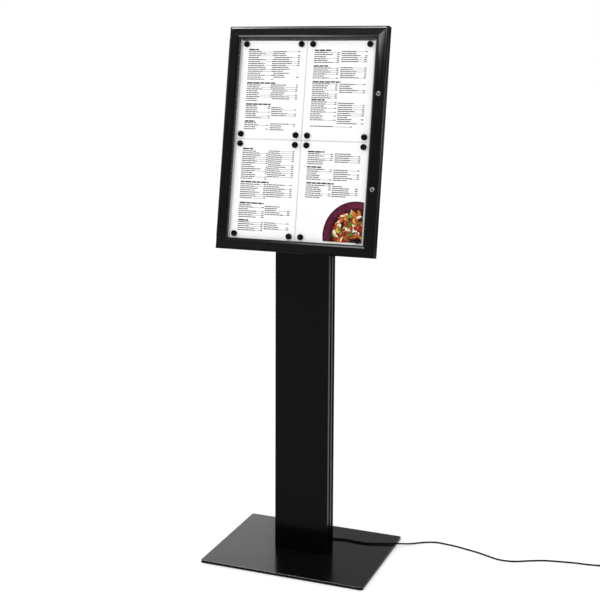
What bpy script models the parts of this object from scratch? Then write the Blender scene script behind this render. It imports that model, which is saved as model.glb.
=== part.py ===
"""Illuminated menu display stand: a tilted, lockable, backlit sheet case on a column and a base plate.

Lengths are in metres, +Z is up, the reader stands on the -Y side, and the origin is on the
floor under the middle of the base plate.

The case is drawn in its own frame, the empty head_frame: x runs across the board, y runs
backwards from the front of the door, z runs up the board. Its aluminium sections are drawn as
(edge, depth) outlines: edge is the distance in from the outer edge, depth the distance back.
"""

import math

import bmesh
import bpy
from mathutils import Matrix, Vector

# Fits
SEAT_GAP = 0.0003  # left between pieces that touch
OVERRUN = 0.002  # how far a cutter runs past what it cuts

# Base plate and its mat
BASE_WIDTH = 0.520
BASE_DEPTH = 0.400
BASE_THICKNESS = 0.008
BASE_CORNER_RADIUS = 0.006
BASE_CHAMFER = 0.0008
MAT_THICKNESS = 0.0012
MAT_INSET = 0.004

# Column, an extrusion with three chambers and two grooves in each side
COLUMN_WIDTH = 0.173
COLUMN_DEPTH = 0.058
COLUMN_CENTRE_Y = 0.005
COLUMN_HEIGHT = 1.1905
COLUMN_WALL = 0.0025
COLUMN_CORNER_RADIUS = 0.0015
MIDDLE_CHAMBER_WIDTH = 0.060
GROOVE_LAND = 0.0145
GROOVE_WIDTH = 0.012
GROOVE_SPACING = 0.024
GROOVE_DEPTH = 0.0045
INSERT_HEIGHT = 0.020
INSERT_CHAMFER = 0.001
CAP_THICKNESS = 0.002
CAP_SPIGOT = 0.012

# Bracket between column and case
HEAD_TILT = math.radians(10)
BRACKET_WIDTH = 0.120
BRACKET_HEIGHT = 0.150
BRACKET_BELOW_TOP = 0.020
BRACKET_TOP_DEPTH = 0.0129
BRACKET_WALL = 0.0025
HEAD_RISE = 0.1097  # from the bracket's top to the middle of the case, along its back

# Case and door
RAIL_WALL = 0.0016
DOOR_DEPTH = 0.012
DOOR_CHAMBER_WIDTH = 0.0245
DOOR_EDGE_RADIUS = 0.007
DOOR_FACE = 0.0275
DOOR_BEVEL = 0.0045
DOOR_BEVEL_DROP = 0.0022
LIP_DEPTH = 0.003
REAR_LIP_REACH = 0.0035
REAR_LIP_THICKNESS = 0.0012
DOOR_GAP = 0.0004
CASE_DEPTH = 0.0176
CASE_CHAMBER_WIDTH = 0.008
STRIKE_SETBACK = 0.0031
STRIKE_REACH = 0.0045
STRIKE_THICKNESS = 0.0015
FLANGE_REACH = 0.020
FLANGE_THICKNESS = 0.0017
PANEL_THICKNESS = 0.0017
KEY_LENGTH = 0.030

# Pane and gasket
PANE_THICKNESS = 0.002
GASKET_WALL = 0.0008
GASKET_SHOW = 0.0035

# Board, light bars, sheets and magnets
BOARD_EDGE = 0.026
BOARD_SETBACK = 0.0017
BOARD_THICKNESS = 0.001
BAR_HEIGHT = 0.0042
BAR_RIM = 0.002
BAR_RIM_STEP = 0.0008
BAR_LIP = 0.0008
BAR_LIP_COVER = 0.0025  # how far a bar's lip reaches over the sheets
STRIP_WIDTH = 0.006
STRIP_THICKNESS = 0.001
STRIP_END = 0.010
SHEET_WIDTH = 0.210
SHEET_HEIGHT = 0.297
SHEET_GAP = 0.0035  # between two sheets
SHEET_SIDE_MARGIN = 0.00325  # from a sheet's side to the opening's edge
SHEET_END_MARGIN = 0.00225
SHEET_DROP = 0.0019  # below the middle of the case
SHEET_THICKNESS = 0.0003
MAGNET_DIAMETER = 0.018
MAGNET_THICKNESS = 0.006
MAGNET_CHAMFER = 0.0008
MAGNET_INSET_X = 0.0164
MAGNET_INSET_Z = 0.0127

# Cam locks in the right stile
LOCK_INSET = 0.017
LOCK_SPACING = 0.2765
LOCK_FLANGE_DIAMETER = 0.0138
LOCK_FLANGE_HEIGHT = 0.0014
LOCK_BODY_DIAMETER = 0.012
PLUG_DIAMETER = 0.008
PLUG_SQUARE = 0.004
PLUG_TAIL_END = 0.0006
KEYWAY_WIDTH = 0.0012
KEYWAY_HEIGHT = 0.0056
KEYWAY_DEPTH = 0.004
CAM_WIDTH = 0.008
CAM_REACH = 0.008
CAM_THICKNESS = 0.0015

# Continuous hinge on the left side
HINGE_LENGTH = 0.600
HINGE_RADIUS = 0.00175
HINGE_PIN_RADIUS = 0.00075
HINGE_LEAF = 0.0008
CASE_LEAF_WIDTH = 0.011
DOOR_LEAF_WIDTH = 0.0045
KNUCKLE_LENGTH = 0.050

# Lead, gland and plug
CORD_DIAMETER = 0.0048
GLAND_RISE = 0.0305  # above the base plate
GLAND_THREAD_DIAMETER = 0.012
GLAND_THREAD_LENGTH = 0.0075
GLAND_COLLAR_DIAMETER = 0.018
GLAND_COLLAR_LENGTH = 0.005
GLAND_RELIEF_LENGTH = 0.020
GLAND_RELIEF_ROOT = 0.0105
GLAND_RELIEF_TIP = 0.0068
LEAD_HOLE_DIAMETER = 0.010
LEAD_HOLE_DROP = 0.095  # below the column's top
INNER_LEAD_DIAMETER = 0.0036
INNER_LEAD_BEND = 0.007
BLOCK_WIDTH = 0.050
BLOCK_HEIGHT = 0.020
BLOCK_THICKNESS = 0.0115
BLOCK_RISE = 0.020  # above the lead's hole
BLOCK_CHAMFER = 0.001
COIL_MEAN_DIAMETER = 0.0556
COIL_PITCH = 0.0056
COIL_LAYER = 0.0055
PLUG_BODY = (0.062, 0.040, 0.028)
PLUG_CORNER = 0.004
PLUG_ENTRY_HEIGHT = 0.0085
PLUG_BOOT_LENGTH = 0.014
PLUG_BOOT_ROOT = 0.0095
PLUG_BOOT_TIP = 0.0068
PLUG_PIN_DIAMETER = 0.004
PLUG_PIN_LENGTH = 0.019
PLUG_PIN_SPACING = 0.019
PLUG_PIN_SETBACK = 0.014
COIL_TAIL = 0.058

# The lead's route from behind the gland to the coil: over the plate, down its edge, along the floor
CORD_ROUTE = [
    (0.003, 0.079, 0.0370),
    (0.016, 0.091, 0.0240),
    (0.039, 0.096, 0.0135),
    (0.067, 0.097, 0.0122),
    (0.099, 0.103, 0.0122),
    (0.119, 0.103, 0.0122),
    (0.154, 0.100, 0.0122),
    (0.186, 0.104, 0.0122),
    (0.230, 0.119, 0.0122),
    (0.260, 0.1315, 0.0122),
    (0.281, 0.1475, 0.0088),
    (0.300, 0.166, 0.0045),
    (0.326, 0.1895, 0.0025),
    (0.352, 0.205, 0.0025),
    (0.378, 0.212, 0.0025),
    (0.402, 0.210, 0.0025),
    (0.438, 0.205, 0.0025),
    (0.475, 0.195, 0.0025),
    (0.511, 0.185, 0.0025),
    (0.549, 0.170, 0.0025),
    (0.573, 0.160, 0.0025),
    (0.595, 0.156, 0.0025),
    (0.6175, 0.158, 0.0025),
    (0.640, 0.165, 0.0025),
    (0.672, 0.182, 0.0025),
    (0.709, 0.199, 0.0025),
    (0.740, 0.208, 0.0025),
    (0.772, 0.214, 0.0025),
    (0.808, 0.220, 0.0025),
    (0.835, 0.222, 0.0025),
    (0.861, 0.225, 0.0025),
    (0.881, 0.229, 0.0025),
    (0.905, 0.2335, 0.0025),
    (0.926, 0.2355, 0.0025),
    (0.940, 0.2355, 0.0025),
]

# Counts and angles
ARC_STEPS = 4
ROUND_SIDES = 20
MAGNET_SIDES = 16
PIN_SIDES = 12
COIL_LAYERS = 4
COIL_TURNS_PER_LAYER = 2.75
POINTS_PER_TURN = 24
TUBE_RINGS = 2
COIL_RINGS = 1
SPAN_SAMPLES = 16
CORD_STEP_SHARE = 2.9  # distance between the tube's points, in diameters
SHARP_ANGLE = math.radians(35)

# The head's size round its four sheets, and places along its depth from the front of the door
LIP_END = DOOR_FACE + DOOR_BEVEL
OPENING_EDGE = LIP_END + GASKET_SHOW
HEAD_WIDTH = SHEET_GAP + 2 * (SHEET_WIDTH + SHEET_SIDE_MARGIN + OPENING_EDGE)
HEAD_HEIGHT = SHEET_GAP + 2 * (SHEET_HEIGHT + SHEET_END_MARGIN + OPENING_EDGE)
GASKET_FRONT = LIP_DEPTH + SEAT_GAP
PANE_FRONT = GASKET_FRONT + GASKET_WALL + SEAT_GAP
PANE_BACK = PANE_FRONT + PANE_THICKNESS
GASKET_REAR = PANE_BACK + SEAT_GAP
REAR_LIP_FRONT = GASKET_REAR + GASKET_WALL + SEAT_GAP
REAR_LIP_BACK = REAR_LIP_FRONT + REAR_LIP_THICKNESS
GASKET_EDGE = DOOR_CHAMBER_WIDTH + SEAT_GAP
PANE_EDGE = GASKET_EDGE + GASKET_WALL + SEAT_GAP
CASE_FRONT = DOOR_DEPTH + DOOR_GAP
HEAD_DEPTH = CASE_FRONT + CASE_DEPTH
STRIKE_FRONT = CASE_FRONT + STRIKE_SETBACK
STRIKE_BACK = STRIKE_FRONT + STRIKE_THICKNESS
PANEL_FRONT = HEAD_DEPTH - PANEL_THICKNESS
FLANGE_BACK = PANEL_FRONT - SEAT_GAP
FLANGE_FRONT = FLANGE_BACK - FLANGE_THICKNESS
BOARD_FRONT = CASE_FRONT + BOARD_SETBACK
BOARD_BACK = FLANGE_FRONT - SEAT_GAP
SHEET_BACK = BOARD_FRONT - SEAT_GAP
SHEET_FRONT = SHEET_BACK - SHEET_THICKNESS
MAGNET_BACK = SHEET_FRONT - SEAT_GAP
BAR_BACK = BOARD_FRONT - SEAT_GAP
LOCK_BODY_END = STRIKE_FRONT - SEAT_GAP
CAM_FRONT = STRIKE_BACK + SEAT_GAP

# Other derived places
BASE_TOP = MAT_THICKNESS + SEAT_GAP + BASE_THICKNESS
COLUMN_FOOT = BASE_TOP + SEAT_GAP
COLUMN_TOP = COLUMN_FOOT + COLUMN_HEIGHT
COLUMN_FRONT_Y = COLUMN_CENTRE_Y - COLUMN_DEPTH / 2
COLUMN_BACK_Y = COLUMN_CENTRE_Y + COLUMN_DEPTH / 2
BRACKET_TOP = COLUMN_TOP - BRACKET_BELOW_TOP
BRACKET_BOTTOM = BRACKET_TOP - BRACKET_HEIGHT
GLAND_Z = BASE_TOP + GLAND_RISE
LEAD_Z = COLUMN_TOP - LEAD_HOLE_DROP
UP_THE_BOARD = Vector((0, math.sin(HEAD_TILT), math.cos(HEAD_TILT)))
INTO_THE_BOARD = Vector((0, math.cos(HEAD_TILT), -math.sin(HEAD_TILT)))
CASE_BACK_TOP = Vector((0, COLUMN_FRONT_Y - BRACKET_TOP_DEPTH, BRACKET_TOP))
HEAD_ORIGIN = CASE_BACK_TOP + UP_THE_BOARD * HEAD_RISE - INTO_THE_BOARD * HEAD_DEPTH
HINGE_AXIS = Vector((-HEAD_WIDTH / 2 - SEAT_GAP - HINGE_RADIUS, DOOR_DEPTH + DOOR_GAP / 2, 0))
CORD_RADIUS = CORD_DIAMETER / 2


def new_collection(name):
    collection = bpy.data.collections.new(name)
    bpy.context.scene.collection.children.link(collection)
    return collection


def new_material(name, colour, roughness, metallic=0.0, alpha=1.0):
    material = bpy.data.materials.new(name)
    material.use_nodes = True
    shader = material.node_tree.nodes["Principled BSDF"]
    shader.inputs["Base Color"].default_value = (*colour, 1.0)
    shader.inputs["Roughness"].default_value = roughness
    shader.inputs["Metallic"].default_value = metallic
    shader.inputs["Alpha"].default_value = alpha
    material.diffuse_color = (*colour, alpha)
    return material


def place(item, parent=None, location=(0, 0, 0), rotation=(0, 0, 0)):
    item.parent = parent
    item.location = location
    item.rotation_euler = rotation
    return item


def add_part(name, bm, material, **where):
    """A named piece from a bmesh, smooth across its shallow edges."""
    mesh = bpy.data.meshes.new(name)
    bm.to_mesh(mesh)
    bm.free()
    mesh.shade_smooth()
    mesh.set_sharp_from_angle(angle=SHARP_ANGLE)
    return share_part(name, mesh, material, **where)


def share_part(name, mesh, material, **where):
    """A named piece that uses a mesh which may have other users."""
    part = bpy.data.objects.new(name, mesh)
    if not mesh.materials:
        mesh.materials.append(material)
    parts.objects.link(part)
    return place(part, **where)


def add_cutter(name, bm, **where):
    mesh = bpy.data.meshes.new(name)
    bm.to_mesh(mesh)
    bm.free()
    cutter = bpy.data.objects.new(name, mesh)
    cutters.objects.link(cutter)
    cutter.hide_render = True
    cutter.display_type = "WIRE"
    return place(cutter, **where)


def combine(part, other, operation):
    modifier = part.modifiers.new(other.name, "BOOLEAN")
    modifier.operation = operation
    modifier.solver = "EXACT"
    modifier.object = other


def box(size, centre=(0, 0, 0)):
    bm = bmesh.new()
    bmesh.ops.create_cube(bm, size=1.0)
    bmesh.ops.scale(bm, vec=size, verts=bm.verts)
    bmesh.ops.translate(bm, vec=centre, verts=bm.verts)
    return bm


def chamfered_box(size, chamfer, centre=(0, 0, 0), segments=1):
    bm = box(size, centre)
    bmesh.ops.bevel(
        bm,
        geom=bm.edges[:],
        offset=chamfer,
        offset_type="OFFSET",
        segments=segments,
        profile=0.5,
        affect="EDGES",
        material=-1,
    )
    return bm


def cylinder(radius, low, high, sides=ROUND_SIDES, axis="Z", far_radius=None):
    """A cylinder or cone along an axis, from low to high, whose far end may be thinner."""
    turns = {
        "X": Matrix.Rotation(math.pi / 2, 4, "Y"),
        "Y": Matrix.Rotation(-math.pi / 2, 4, "X"),
        "Z": Matrix.Identity(4),
    }
    bm = bmesh.new()
    bmesh.ops.create_cone(
        bm,
        cap_ends=True,
        segments=sides,
        radius1=radius,
        radius2=radius if far_radius is None else far_radius,
        depth=high - low,
    )
    bmesh.ops.translate(bm, vec=(0, 0, (low + high) / 2), verts=bm.verts)
    bmesh.ops.transform(bm, matrix=turns[axis], verts=bm.verts)
    return bm


def arc(centre, radius, start, end, steps):
    """Points on an arc between two angles, both ends included."""
    angles = [start + (end - start) * i / steps for i in range(steps + 1)]
    return [(centre[0] + radius * math.cos(a), centre[1] + radius * math.sin(a)) for a in angles]


def circle(centre, radius, sides):
    return arc(centre, radius, 0, math.tau, sides)[:-1]


def rounded(corners, steps=ARC_STEPS):
    """An outline from (x, y, radius) corners, each with a tangent arc where its radius isn't zero."""
    outline = []
    for i, (x, y, radius) in enumerate(corners):
        corner = Vector((x, y))
        if not radius:
            outline.append((x, y))
            continue
        before = (Vector(corners[i - 1][:2]) - corner).normalized()
        after = (Vector(corners[(i + 1) % len(corners)][:2]) - corner).normalized()
        half = before.angle(after) / 2
        centre = corner + (before + after).normalized() * radius / math.sin(half)
        start = corner + before * radius / math.tan(half) - centre
        turn = start.angle_signed(corner + after * radius / math.tan(half) - centre)
        for step in range(steps + 1):
            spoke = start.copy()
            spoke.rotate(Matrix.Rotation(-turn * step / steps, 2))
            outline.append(tuple(centre + spoke))
    return outline


def rounded_rectangle(width, height, radius):
    x, y = width / 2, height / 2
    return rounded([(-x, -y, radius), (x, -y, radius), (x, y, radius), (-x, y, radius)])


def rectangle(low, high):
    return [(low[0], low[1]), (high[0], low[1]), (high[0], high[1]), (low[0], high[1])]


def inset(outline, distance):
    """A convex counter-clockwise outline moved inwards by a distance."""
    moved = []
    for i, point in enumerate(outline):
        here, before = Vector(point), Vector(outline[i - 1])
        after = Vector(outline[(i + 1) % len(outline)])
        first, second = (here - before).normalized(), (after - here).normalized()
        inward = Vector((-first.y, first.x)) + Vector((-second.y, second.x))
        moved.append(tuple(here + inward * distance / (1 + first.dot(second))))
    return moved


def prism(outline, thickness, holes=()):
    """A flat outline with holes, made solid about the XY plane."""
    curve = bpy.data.curves.new("outline", "CURVE")
    curve.dimensions = "2D"
    curve.fill_mode = "BOTH"
    curve.extrude = thickness / 2
    for loop in (outline, *holes):
        spline = curve.splines.new("POLY")
        spline.points.add(len(loop) - 1)
        for point, (x, y) in zip(spline.points, loop, strict=True):
            point.co = (x, y, 0, 1)
        spline.use_cyclic_u = True
    guide = bpy.data.objects.new("outline", curve)
    cutters.objects.link(guide)
    bpy.context.view_layer.update()
    mesh = bpy.data.meshes.new_from_object(guide.evaluated_get(bpy.context.evaluated_depsgraph_get()))
    bpy.data.objects.remove(guide)
    bpy.data.curves.remove(curve)
    bm = bmesh.new()
    bm.from_mesh(mesh)
    bpy.data.meshes.remove(mesh)
    bmesh.ops.remove_doubles(bm, verts=bm.verts, dist=SEAT_GAP / 100)
    bmesh.ops.recalc_face_normals(bm, faces=bm.faces)
    caps = [f for f in bm.faces if abs(f.calc_center_median().z) > thickness / 4]
    within = [e for e in bm.edges if len(e.link_faces) == 2 and set(e.link_faces) <= set(caps)]
    bmesh.ops.beautify_fill(bm, faces=caps, edges=within)
    return bm


def stand_up(bm):
    """Turns a prism from the XY plane into the plane of the board."""
    bmesh.ops.rotate(bm, matrix=Matrix.Rotation(math.pi / 2, 3, "X"), verts=bm.verts)
    return bm


def board_plate(edge, front, back, radius=0.0):
    """A plate parallel to the board whose rim lies a distance in from the head's outer edge."""
    bm = prism(
        rounded_rectangle(HEAD_WIDTH - 2 * edge, HEAD_HEIGHT - 2 * edge, radius), back - front
    )
    stand_up(bm)
    bmesh.ops.translate(bm, vec=(0, (front + back) / 2, 0), verts=bm.verts)
    return bm


def rail(outline, half_length, edge_at, holes=(), mitre=1):
    """A section run along the top of a frame, its ends cut back by the mitre or left square.

    The section's edge distance runs down from edge_at, and each end vertex slides back along
    the rail by its own edge distance, so that neighbouring rails meet on a 45 degree plane.
    """
    setback = SEAT_GAP / math.sqrt(2) if mitre else 0
    bm = prism(outline, 2 * half_length, holes)
    for vert in bm.verts:
        end = half_length - setback - mitre * vert.co.x
        vert.co.z = math.copysign(end, vert.co.z)
    to_top = Matrix(((0, 0, 1, 0), (0, 1, 0, 0), (-1, 0, 0, edge_at), (0, 0, 0, 1)))
    bmesh.ops.transform(bm, matrix=to_top, verts=bm.verts)
    return bm


def rail_sides():
    """Name, turn about the depth axis, half length and half distance of the head's four sides."""
    across, up = HEAD_WIDTH / 2, HEAD_HEIGHT / 2
    return [
        ("top", 0, across, up),
        ("right", math.pi / 2, up, across),
        ("bottom", math.pi, across, up),
        ("left", -math.pi / 2, up, across),
    ]


def corner_key(name, chamber, depths, end, **where):
    """An L-shaped corner key: its wide arm grows into the rail, its slim leg slips into the stile."""
    low, high = chamber
    grip = RAIL_WALL / 2
    shoulder = high + grip + 2 * SEAT_GAP
    corners = [
        (low + SEAT_GAP, low + SEAT_GAP),
        (shoulder, low + SEAT_GAP),
        (shoulder, low - grip),
        (high + KEY_LENGTH, low - grip),
        (high + KEY_LENGTH, high + grip),
        (shoulder, high + grip),
        (shoulder, high - SEAT_GAP),
        (high - SEAT_GAP, high - SEAT_GAP),
        (high - SEAT_GAP, high + KEY_LENGTH),
        (low + SEAT_GAP, high + KEY_LENGTH),
    ]
    bm = prism(corners, depths[1] - depths[0])
    to_corner = Matrix(
        (
            (-end, 0, 0, end * HEAD_WIDTH / 2),
            (0, 0, 1, sum(depths) / 2),
            (0, -1, 0, HEAD_HEIGHT / 2),
            (0, 0, 0, 1),
        )
    )
    bmesh.ops.transform(bm, matrix=to_corner, verts=bm.verts)
    bmesh.ops.recalc_face_normals(bm, faces=bm.faces)
    return add_cutter(name, bm, **where)


def frame_of_rails(prefix, outline, holes, chamber, key_depths, material, **where):
    """Four mitred rails; the top and bottom ones carry the corner keys."""
    rails = {}
    turn_to = dict(where)
    for side, turn, half_length, edge_at in rail_sides():
        turn_to["rotation"] = (0, turn, 0)
        bm = rail(outline, half_length, edge_at, holes)
        rails[side] = add_part(f"{prefix}_{side}", bm, material, **turn_to)
        if side in ("top", "bottom"):
            for end in (-1, 1):
                name = f"{prefix}_{side}_key_{'left' if end < 0 else 'right'}"
                key = corner_key(name, chamber, key_depths, end, **turn_to)
                combine(rails[side], key, "UNION")
    return rails


def make_base():
    plate = prism(rounded_rectangle(BASE_WIDTH, BASE_DEPTH, BASE_CORNER_RADIUS), BASE_THICKNESS)
    base = add_part("base_plate", plate, black_steel, location=(0, 0, BASE_TOP - BASE_THICKNESS / 2))
    bevel = base.modifiers.new("rim", "BEVEL")
    bevel.width = BASE_CHAMFER
    bevel.segments = 1
    bevel.limit_method = "ANGLE"
    bevel.angle_limit = SHARP_ANGLE
    mat_size = (BASE_WIDTH - 2 * MAT_INSET, BASE_DEPTH - 2 * MAT_INSET)
    mat = prism(rounded_rectangle(*mat_size, BASE_CORNER_RADIUS), MAT_THICKNESS)
    add_part("base_mat", mat, rubber, location=(0, 0, MAT_THICKNESS / 2))


def column_outline():
    """The column seen from above, with two grooves down each side."""
    x, y = COLUMN_WIDTH / 2, COLUMN_DEPTH / 2
    side = []
    for groove in range(2):
        start = -y + GROOVE_LAND + groove * GROOVE_SPACING
        side += [
            (x, start, 0),
            (x - GROOVE_DEPTH, start, 0),
            (x - GROOVE_DEPTH, start + GROOVE_WIDTH, 0),
            (x, start + GROOVE_WIDTH, 0),
        ]
    right = [(x, -y, COLUMN_CORNER_RADIUS), *side, (x, y, COLUMN_CORNER_RADIUS)]
    left = [(-a, b, r) for a, b, r in reversed(right)]
    return rounded(right + left, 2)


def column_chambers():
    half_depth = COLUMN_DEPTH / 2 - COLUMN_WALL
    middle = MIDDLE_CHAMBER_WIDTH / 2
    inner, outer = middle + COLUMN_WALL, COLUMN_WIDTH / 2 - GROOVE_DEPTH - COLUMN_WALL
    return [
        rectangle((-outer, -half_depth), (-inner, half_depth)),
        rectangle((-middle, -half_depth), (middle, half_depth)),
        rectangle((inner, -half_depth), (outer, half_depth)),
    ]


def make_column():
    bm = prism(column_outline(), COLUMN_HEIGHT, column_chambers())
    column = add_part(
        "column", bm, black_aluminium, location=(0, COLUMN_CENTRE_Y, COLUMN_FOOT + COLUMN_HEIGHT / 2)
    )
    gland_hole = cylinder(
        GLAND_THREAD_DIAMETER / 2 + SEAT_GAP,
        COLUMN_BACK_Y - COLUMN_WALL - OVERRUN,
        COLUMN_BACK_Y + OVERRUN,
        axis="Y",
    )
    combine(column, add_cutter("gland_hole", gland_hole, location=(0, 0, GLAND_Z)), "DIFFERENCE")

    fit = (MIDDLE_CHAMBER_WIDTH - 2 * SEAT_GAP, COLUMN_DEPTH - 2 * COLUMN_WALL - 2 * SEAT_GAP)
    insert = chamfered_box((*fit, INSERT_HEIGHT), INSERT_CHAMFER)
    insert_at = (0, COLUMN_CENTRE_Y, COLUMN_FOOT + INSERT_HEIGHT / 2)
    add_part("foot_insert", insert, bare_aluminium, location=insert_at)

    lid = prism(rounded_rectangle(COLUMN_WIDTH, COLUMN_DEPTH, COLUMN_CORNER_RADIUS), CAP_THICKNESS)
    lid_low = COLUMN_TOP + SEAT_GAP
    cap = add_part(
        "column_cap", lid, black_plastic, location=(0, COLUMN_CENTRE_Y, lid_low + CAP_THICKNESS / 2)
    )
    spigot_height = CAP_SPIGOT + SEAT_GAP + CAP_THICKNESS / 2
    spigot = add_cutter(
        "cap_spigot",
        box((*fit, spigot_height)),
        location=(0, COLUMN_CENTRE_Y, COLUMN_TOP - CAP_SPIGOT + spigot_height / 2),
    )
    combine(cap, spigot, "UNION")
    return column


def case_back_y(z):
    """Where the case's back plane lies at a height."""
    return CASE_BACK_TOP.y - (BRACKET_TOP - z) * math.tan(HEAD_TILT)


def make_bracket():
    """A wedge-shaped box section, open at its sides, that sets the case at its tilt."""
    behind = SEAT_GAP / math.cos(HEAD_TILT)
    wedge = [
        (COLUMN_FRONT_Y - SEAT_GAP, BRACKET_BOTTOM),
        (COLUMN_FRONT_Y - SEAT_GAP, BRACKET_TOP),
        (case_back_y(BRACKET_TOP) + behind, BRACKET_TOP),
        (case_back_y(BRACKET_BOTTOM) + behind, BRACKET_BOTTOM),
    ]
    bm = prism(wedge, BRACKET_WIDTH, [inset(wedge, BRACKET_WALL)])
    to_side = Matrix(((0, 0, 1, 0), (1, 0, 0, 0), (0, 1, 0, 0), (0, 0, 0, 1)))
    bmesh.ops.transform(bm, matrix=to_side, verts=bm.verts)
    return add_part("tilt_bracket", bm, black_steel)


def make_case(head):
    front, back = CASE_FRONT, HEAD_DEPTH
    chamber_end, strike_end = CASE_CHAMBER_WIDTH, CASE_CHAMBER_WIDTH + STRIKE_REACH
    flange_end = CASE_CHAMBER_WIDTH + FLANGE_REACH
    outline = [
        (0, front),
        (chamber_end, front),
        (chamber_end, STRIKE_FRONT),
        (strike_end, STRIKE_FRONT),
        (strike_end, STRIKE_BACK),
        (chamber_end, STRIKE_BACK),
        (chamber_end, FLANGE_FRONT),
        (flange_end, FLANGE_FRONT),
        (flange_end, FLANGE_BACK),
        (chamber_end, FLANGE_BACK),
        (chamber_end, back),
        (0, back),
    ]
    low, high = RAIL_WALL, chamber_end - RAIL_WALL
    hole = rectangle((low, front + RAIL_WALL), (high, back - RAIL_WALL))
    key_depths = (front + RAIL_WALL + SEAT_GAP, back - RAIL_WALL - SEAT_GAP)
    frame_of_rails(
        "case_rail", outline, [hole], (low, high), key_depths, black_aluminium, parent=head
    )
    panel = board_plate(chamber_end + SEAT_GAP, PANEL_FRONT, back)
    return add_part("back_panel", panel, black_steel, parent=head)


def make_board(head):
    """A sheet steel tray, pressed open towards the back, with its rim on the case's rear flange."""
    size = (
        HEAD_WIDTH - 2 * BOARD_EDGE,
        BOARD_BACK - BOARD_FRONT,
        HEAD_HEIGHT - 2 * BOARD_EDGE,
    )
    bm = box(size, (0, (BOARD_FRONT + BOARD_BACK) / 2, 0))
    bmesh.ops.delete(bm, geom=[f for f in bm.faces if f.normal.y > 0.5], context="FACES_ONLY")
    board = add_part("magnetic_board", bm, white_steel, parent=head)
    shell = board.modifiers.new("sheet", "SOLIDIFY")
    shell.thickness = BOARD_THICKNESS
    shell.offset = -1
    shell.use_even_offset = True


def make_light_bars(head):
    """Mitred bars round the sheets; the upright ones carry the light strips on their slope.

    All but the lower one reach over the sheets with a thin lip.
    """
    outer, inner = BOARD_EDGE, OPENING_EDGE
    front, lip_front = BAR_BACK - BAR_HEIGHT, MAGNET_BACK - BAR_LIP
    rim_end, slope_end = (outer + BAR_RIM, front + BAR_RIM_STEP), (inner, lip_front)
    section = [
        (outer, BAR_BACK),
        (outer, front),
        (outer + BAR_RIM, front),
        rim_end,
        slope_end,
    ]
    lip_ends = {
        "top": inner + SHEET_END_MARGIN + SHEET_DROP + BAR_LIP_COVER,
        "left": inner + SHEET_SIDE_MARGIN + BAR_LIP_COVER,
        "right": inner + SHEET_SIDE_MARGIN + BAR_LIP_COVER,
    }
    start, end = Vector(rim_end), Vector(slope_end)
    along = (end - start).normalized()
    off = Vector((along.y, -along.x))
    seat = (start + end) / 2 + off * SEAT_GAP
    strip = [
        tuple(seat + along * a * STRIP_WIDTH / 2 + off * b * STRIP_THICKNESS)
        for a, b in ((-1, 0), (1, 0), (1, 1), (-1, 1))
    ]
    for side, turn, half_length, edge_at in rail_sides():
        upright = side in ("left", "right")
        name = f"light_bar_{side}" if upright else f"board_trim_{side}"
        where = {"parent": head, "rotation": (0, turn, 0)}
        outline = list(section)
        if side in lip_ends:
            lip_end = lip_ends[side]
            outline += [(lip_end, lip_front), (lip_end, MAGNET_BACK), (inner, MAGNET_BACK)]
        outline.append((inner, BAR_BACK))
        add_part(name, rail(outline, half_length, edge_at), black_aluminium, **where)
        if upright:
            strip_half = half_length - inner - STRIP_END
            bm = rail(strip, strip_half, edge_at, mitre=0)
            add_part(f"led_strip_{side}", bm, lit_strip, **where)


def sheet_centres():
    """Row and column name and centre of each sheet."""
    x, z = (SHEET_WIDTH + SHEET_GAP) / 2, (SHEET_HEIGHT + SHEET_GAP) / 2
    return [
        (f"{row}_{column}", column_sign * x, row_sign * z - SHEET_DROP)
        for row, row_sign in (("upper", 1), ("lower", -1))
        for column, column_sign in (("left", -1), ("right", 1))
    ]


def make_sheets(head):
    """Four paper sheets, each held by four magnets."""
    leaf = box((SHEET_WIDTH, SHEET_THICKNESS, SHEET_HEIGHT))
    leaf_mesh = bpy.data.meshes.new("menu_sheet")
    leaf.to_mesh(leaf_mesh)
    leaf.free()
    disc = cylinder(MAGNET_DIAMETER / 2, 0, MAGNET_THICKNESS, MAGNET_SIDES, "Y")
    face = min(disc.faces, key=lambda f: f.calc_center_median().y)
    bmesh.ops.bevel(
        disc,
        geom=face.edges[:],
        offset=MAGNET_CHAMFER,
        offset_type="OFFSET",
        segments=1,
        profile=0.5,
        affect="EDGES",
        material=-1,
    )
    disc_mesh = bpy.data.meshes.new("magnet")
    disc.to_mesh(disc_mesh)
    disc.free()
    magnet_x = SHEET_WIDTH / 2 - MAGNET_INSET_X
    magnet_z = SHEET_HEIGHT / 2 - MAGNET_INSET_Z
    for name, x, z in sheet_centres():
        at = (x, (SHEET_FRONT + SHEET_BACK) / 2, z)
        share_part(f"menu_sheet_{name}", leaf_mesh, paper, parent=head, location=at)
        for corner, a, b in (("tl", -1, 1), ("tr", 1, 1), ("bl", -1, -1), ("br", 1, -1)):
            at = (x + a * magnet_x, MAGNET_BACK - MAGNET_THICKNESS, z + b * magnet_z)
            share_part(f"magnet_{name}_{corner}", disc_mesh, magnet_black, parent=head, location=at)


def door_outline():
    chamber_end, rear_end = DOOR_CHAMBER_WIDTH, DOOR_CHAMBER_WIDTH + REAR_LIP_REACH
    return rounded(
        [
            (0, DOOR_DEPTH, 0),
            (0, 0, DOOR_EDGE_RADIUS),
            (DOOR_FACE, 0, 0),
            (LIP_END, DOOR_BEVEL_DROP, 0),
            (LIP_END, LIP_DEPTH, 0),
            (chamber_end, LIP_DEPTH, 0),
            (chamber_end, REAR_LIP_FRONT, 0),
            (rear_end, REAR_LIP_FRONT, 0),
            (rear_end, REAR_LIP_BACK, 0),
            (chamber_end, REAR_LIP_BACK, 0),
            (chamber_end, DOOR_DEPTH, 0),
        ]
    )


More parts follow.
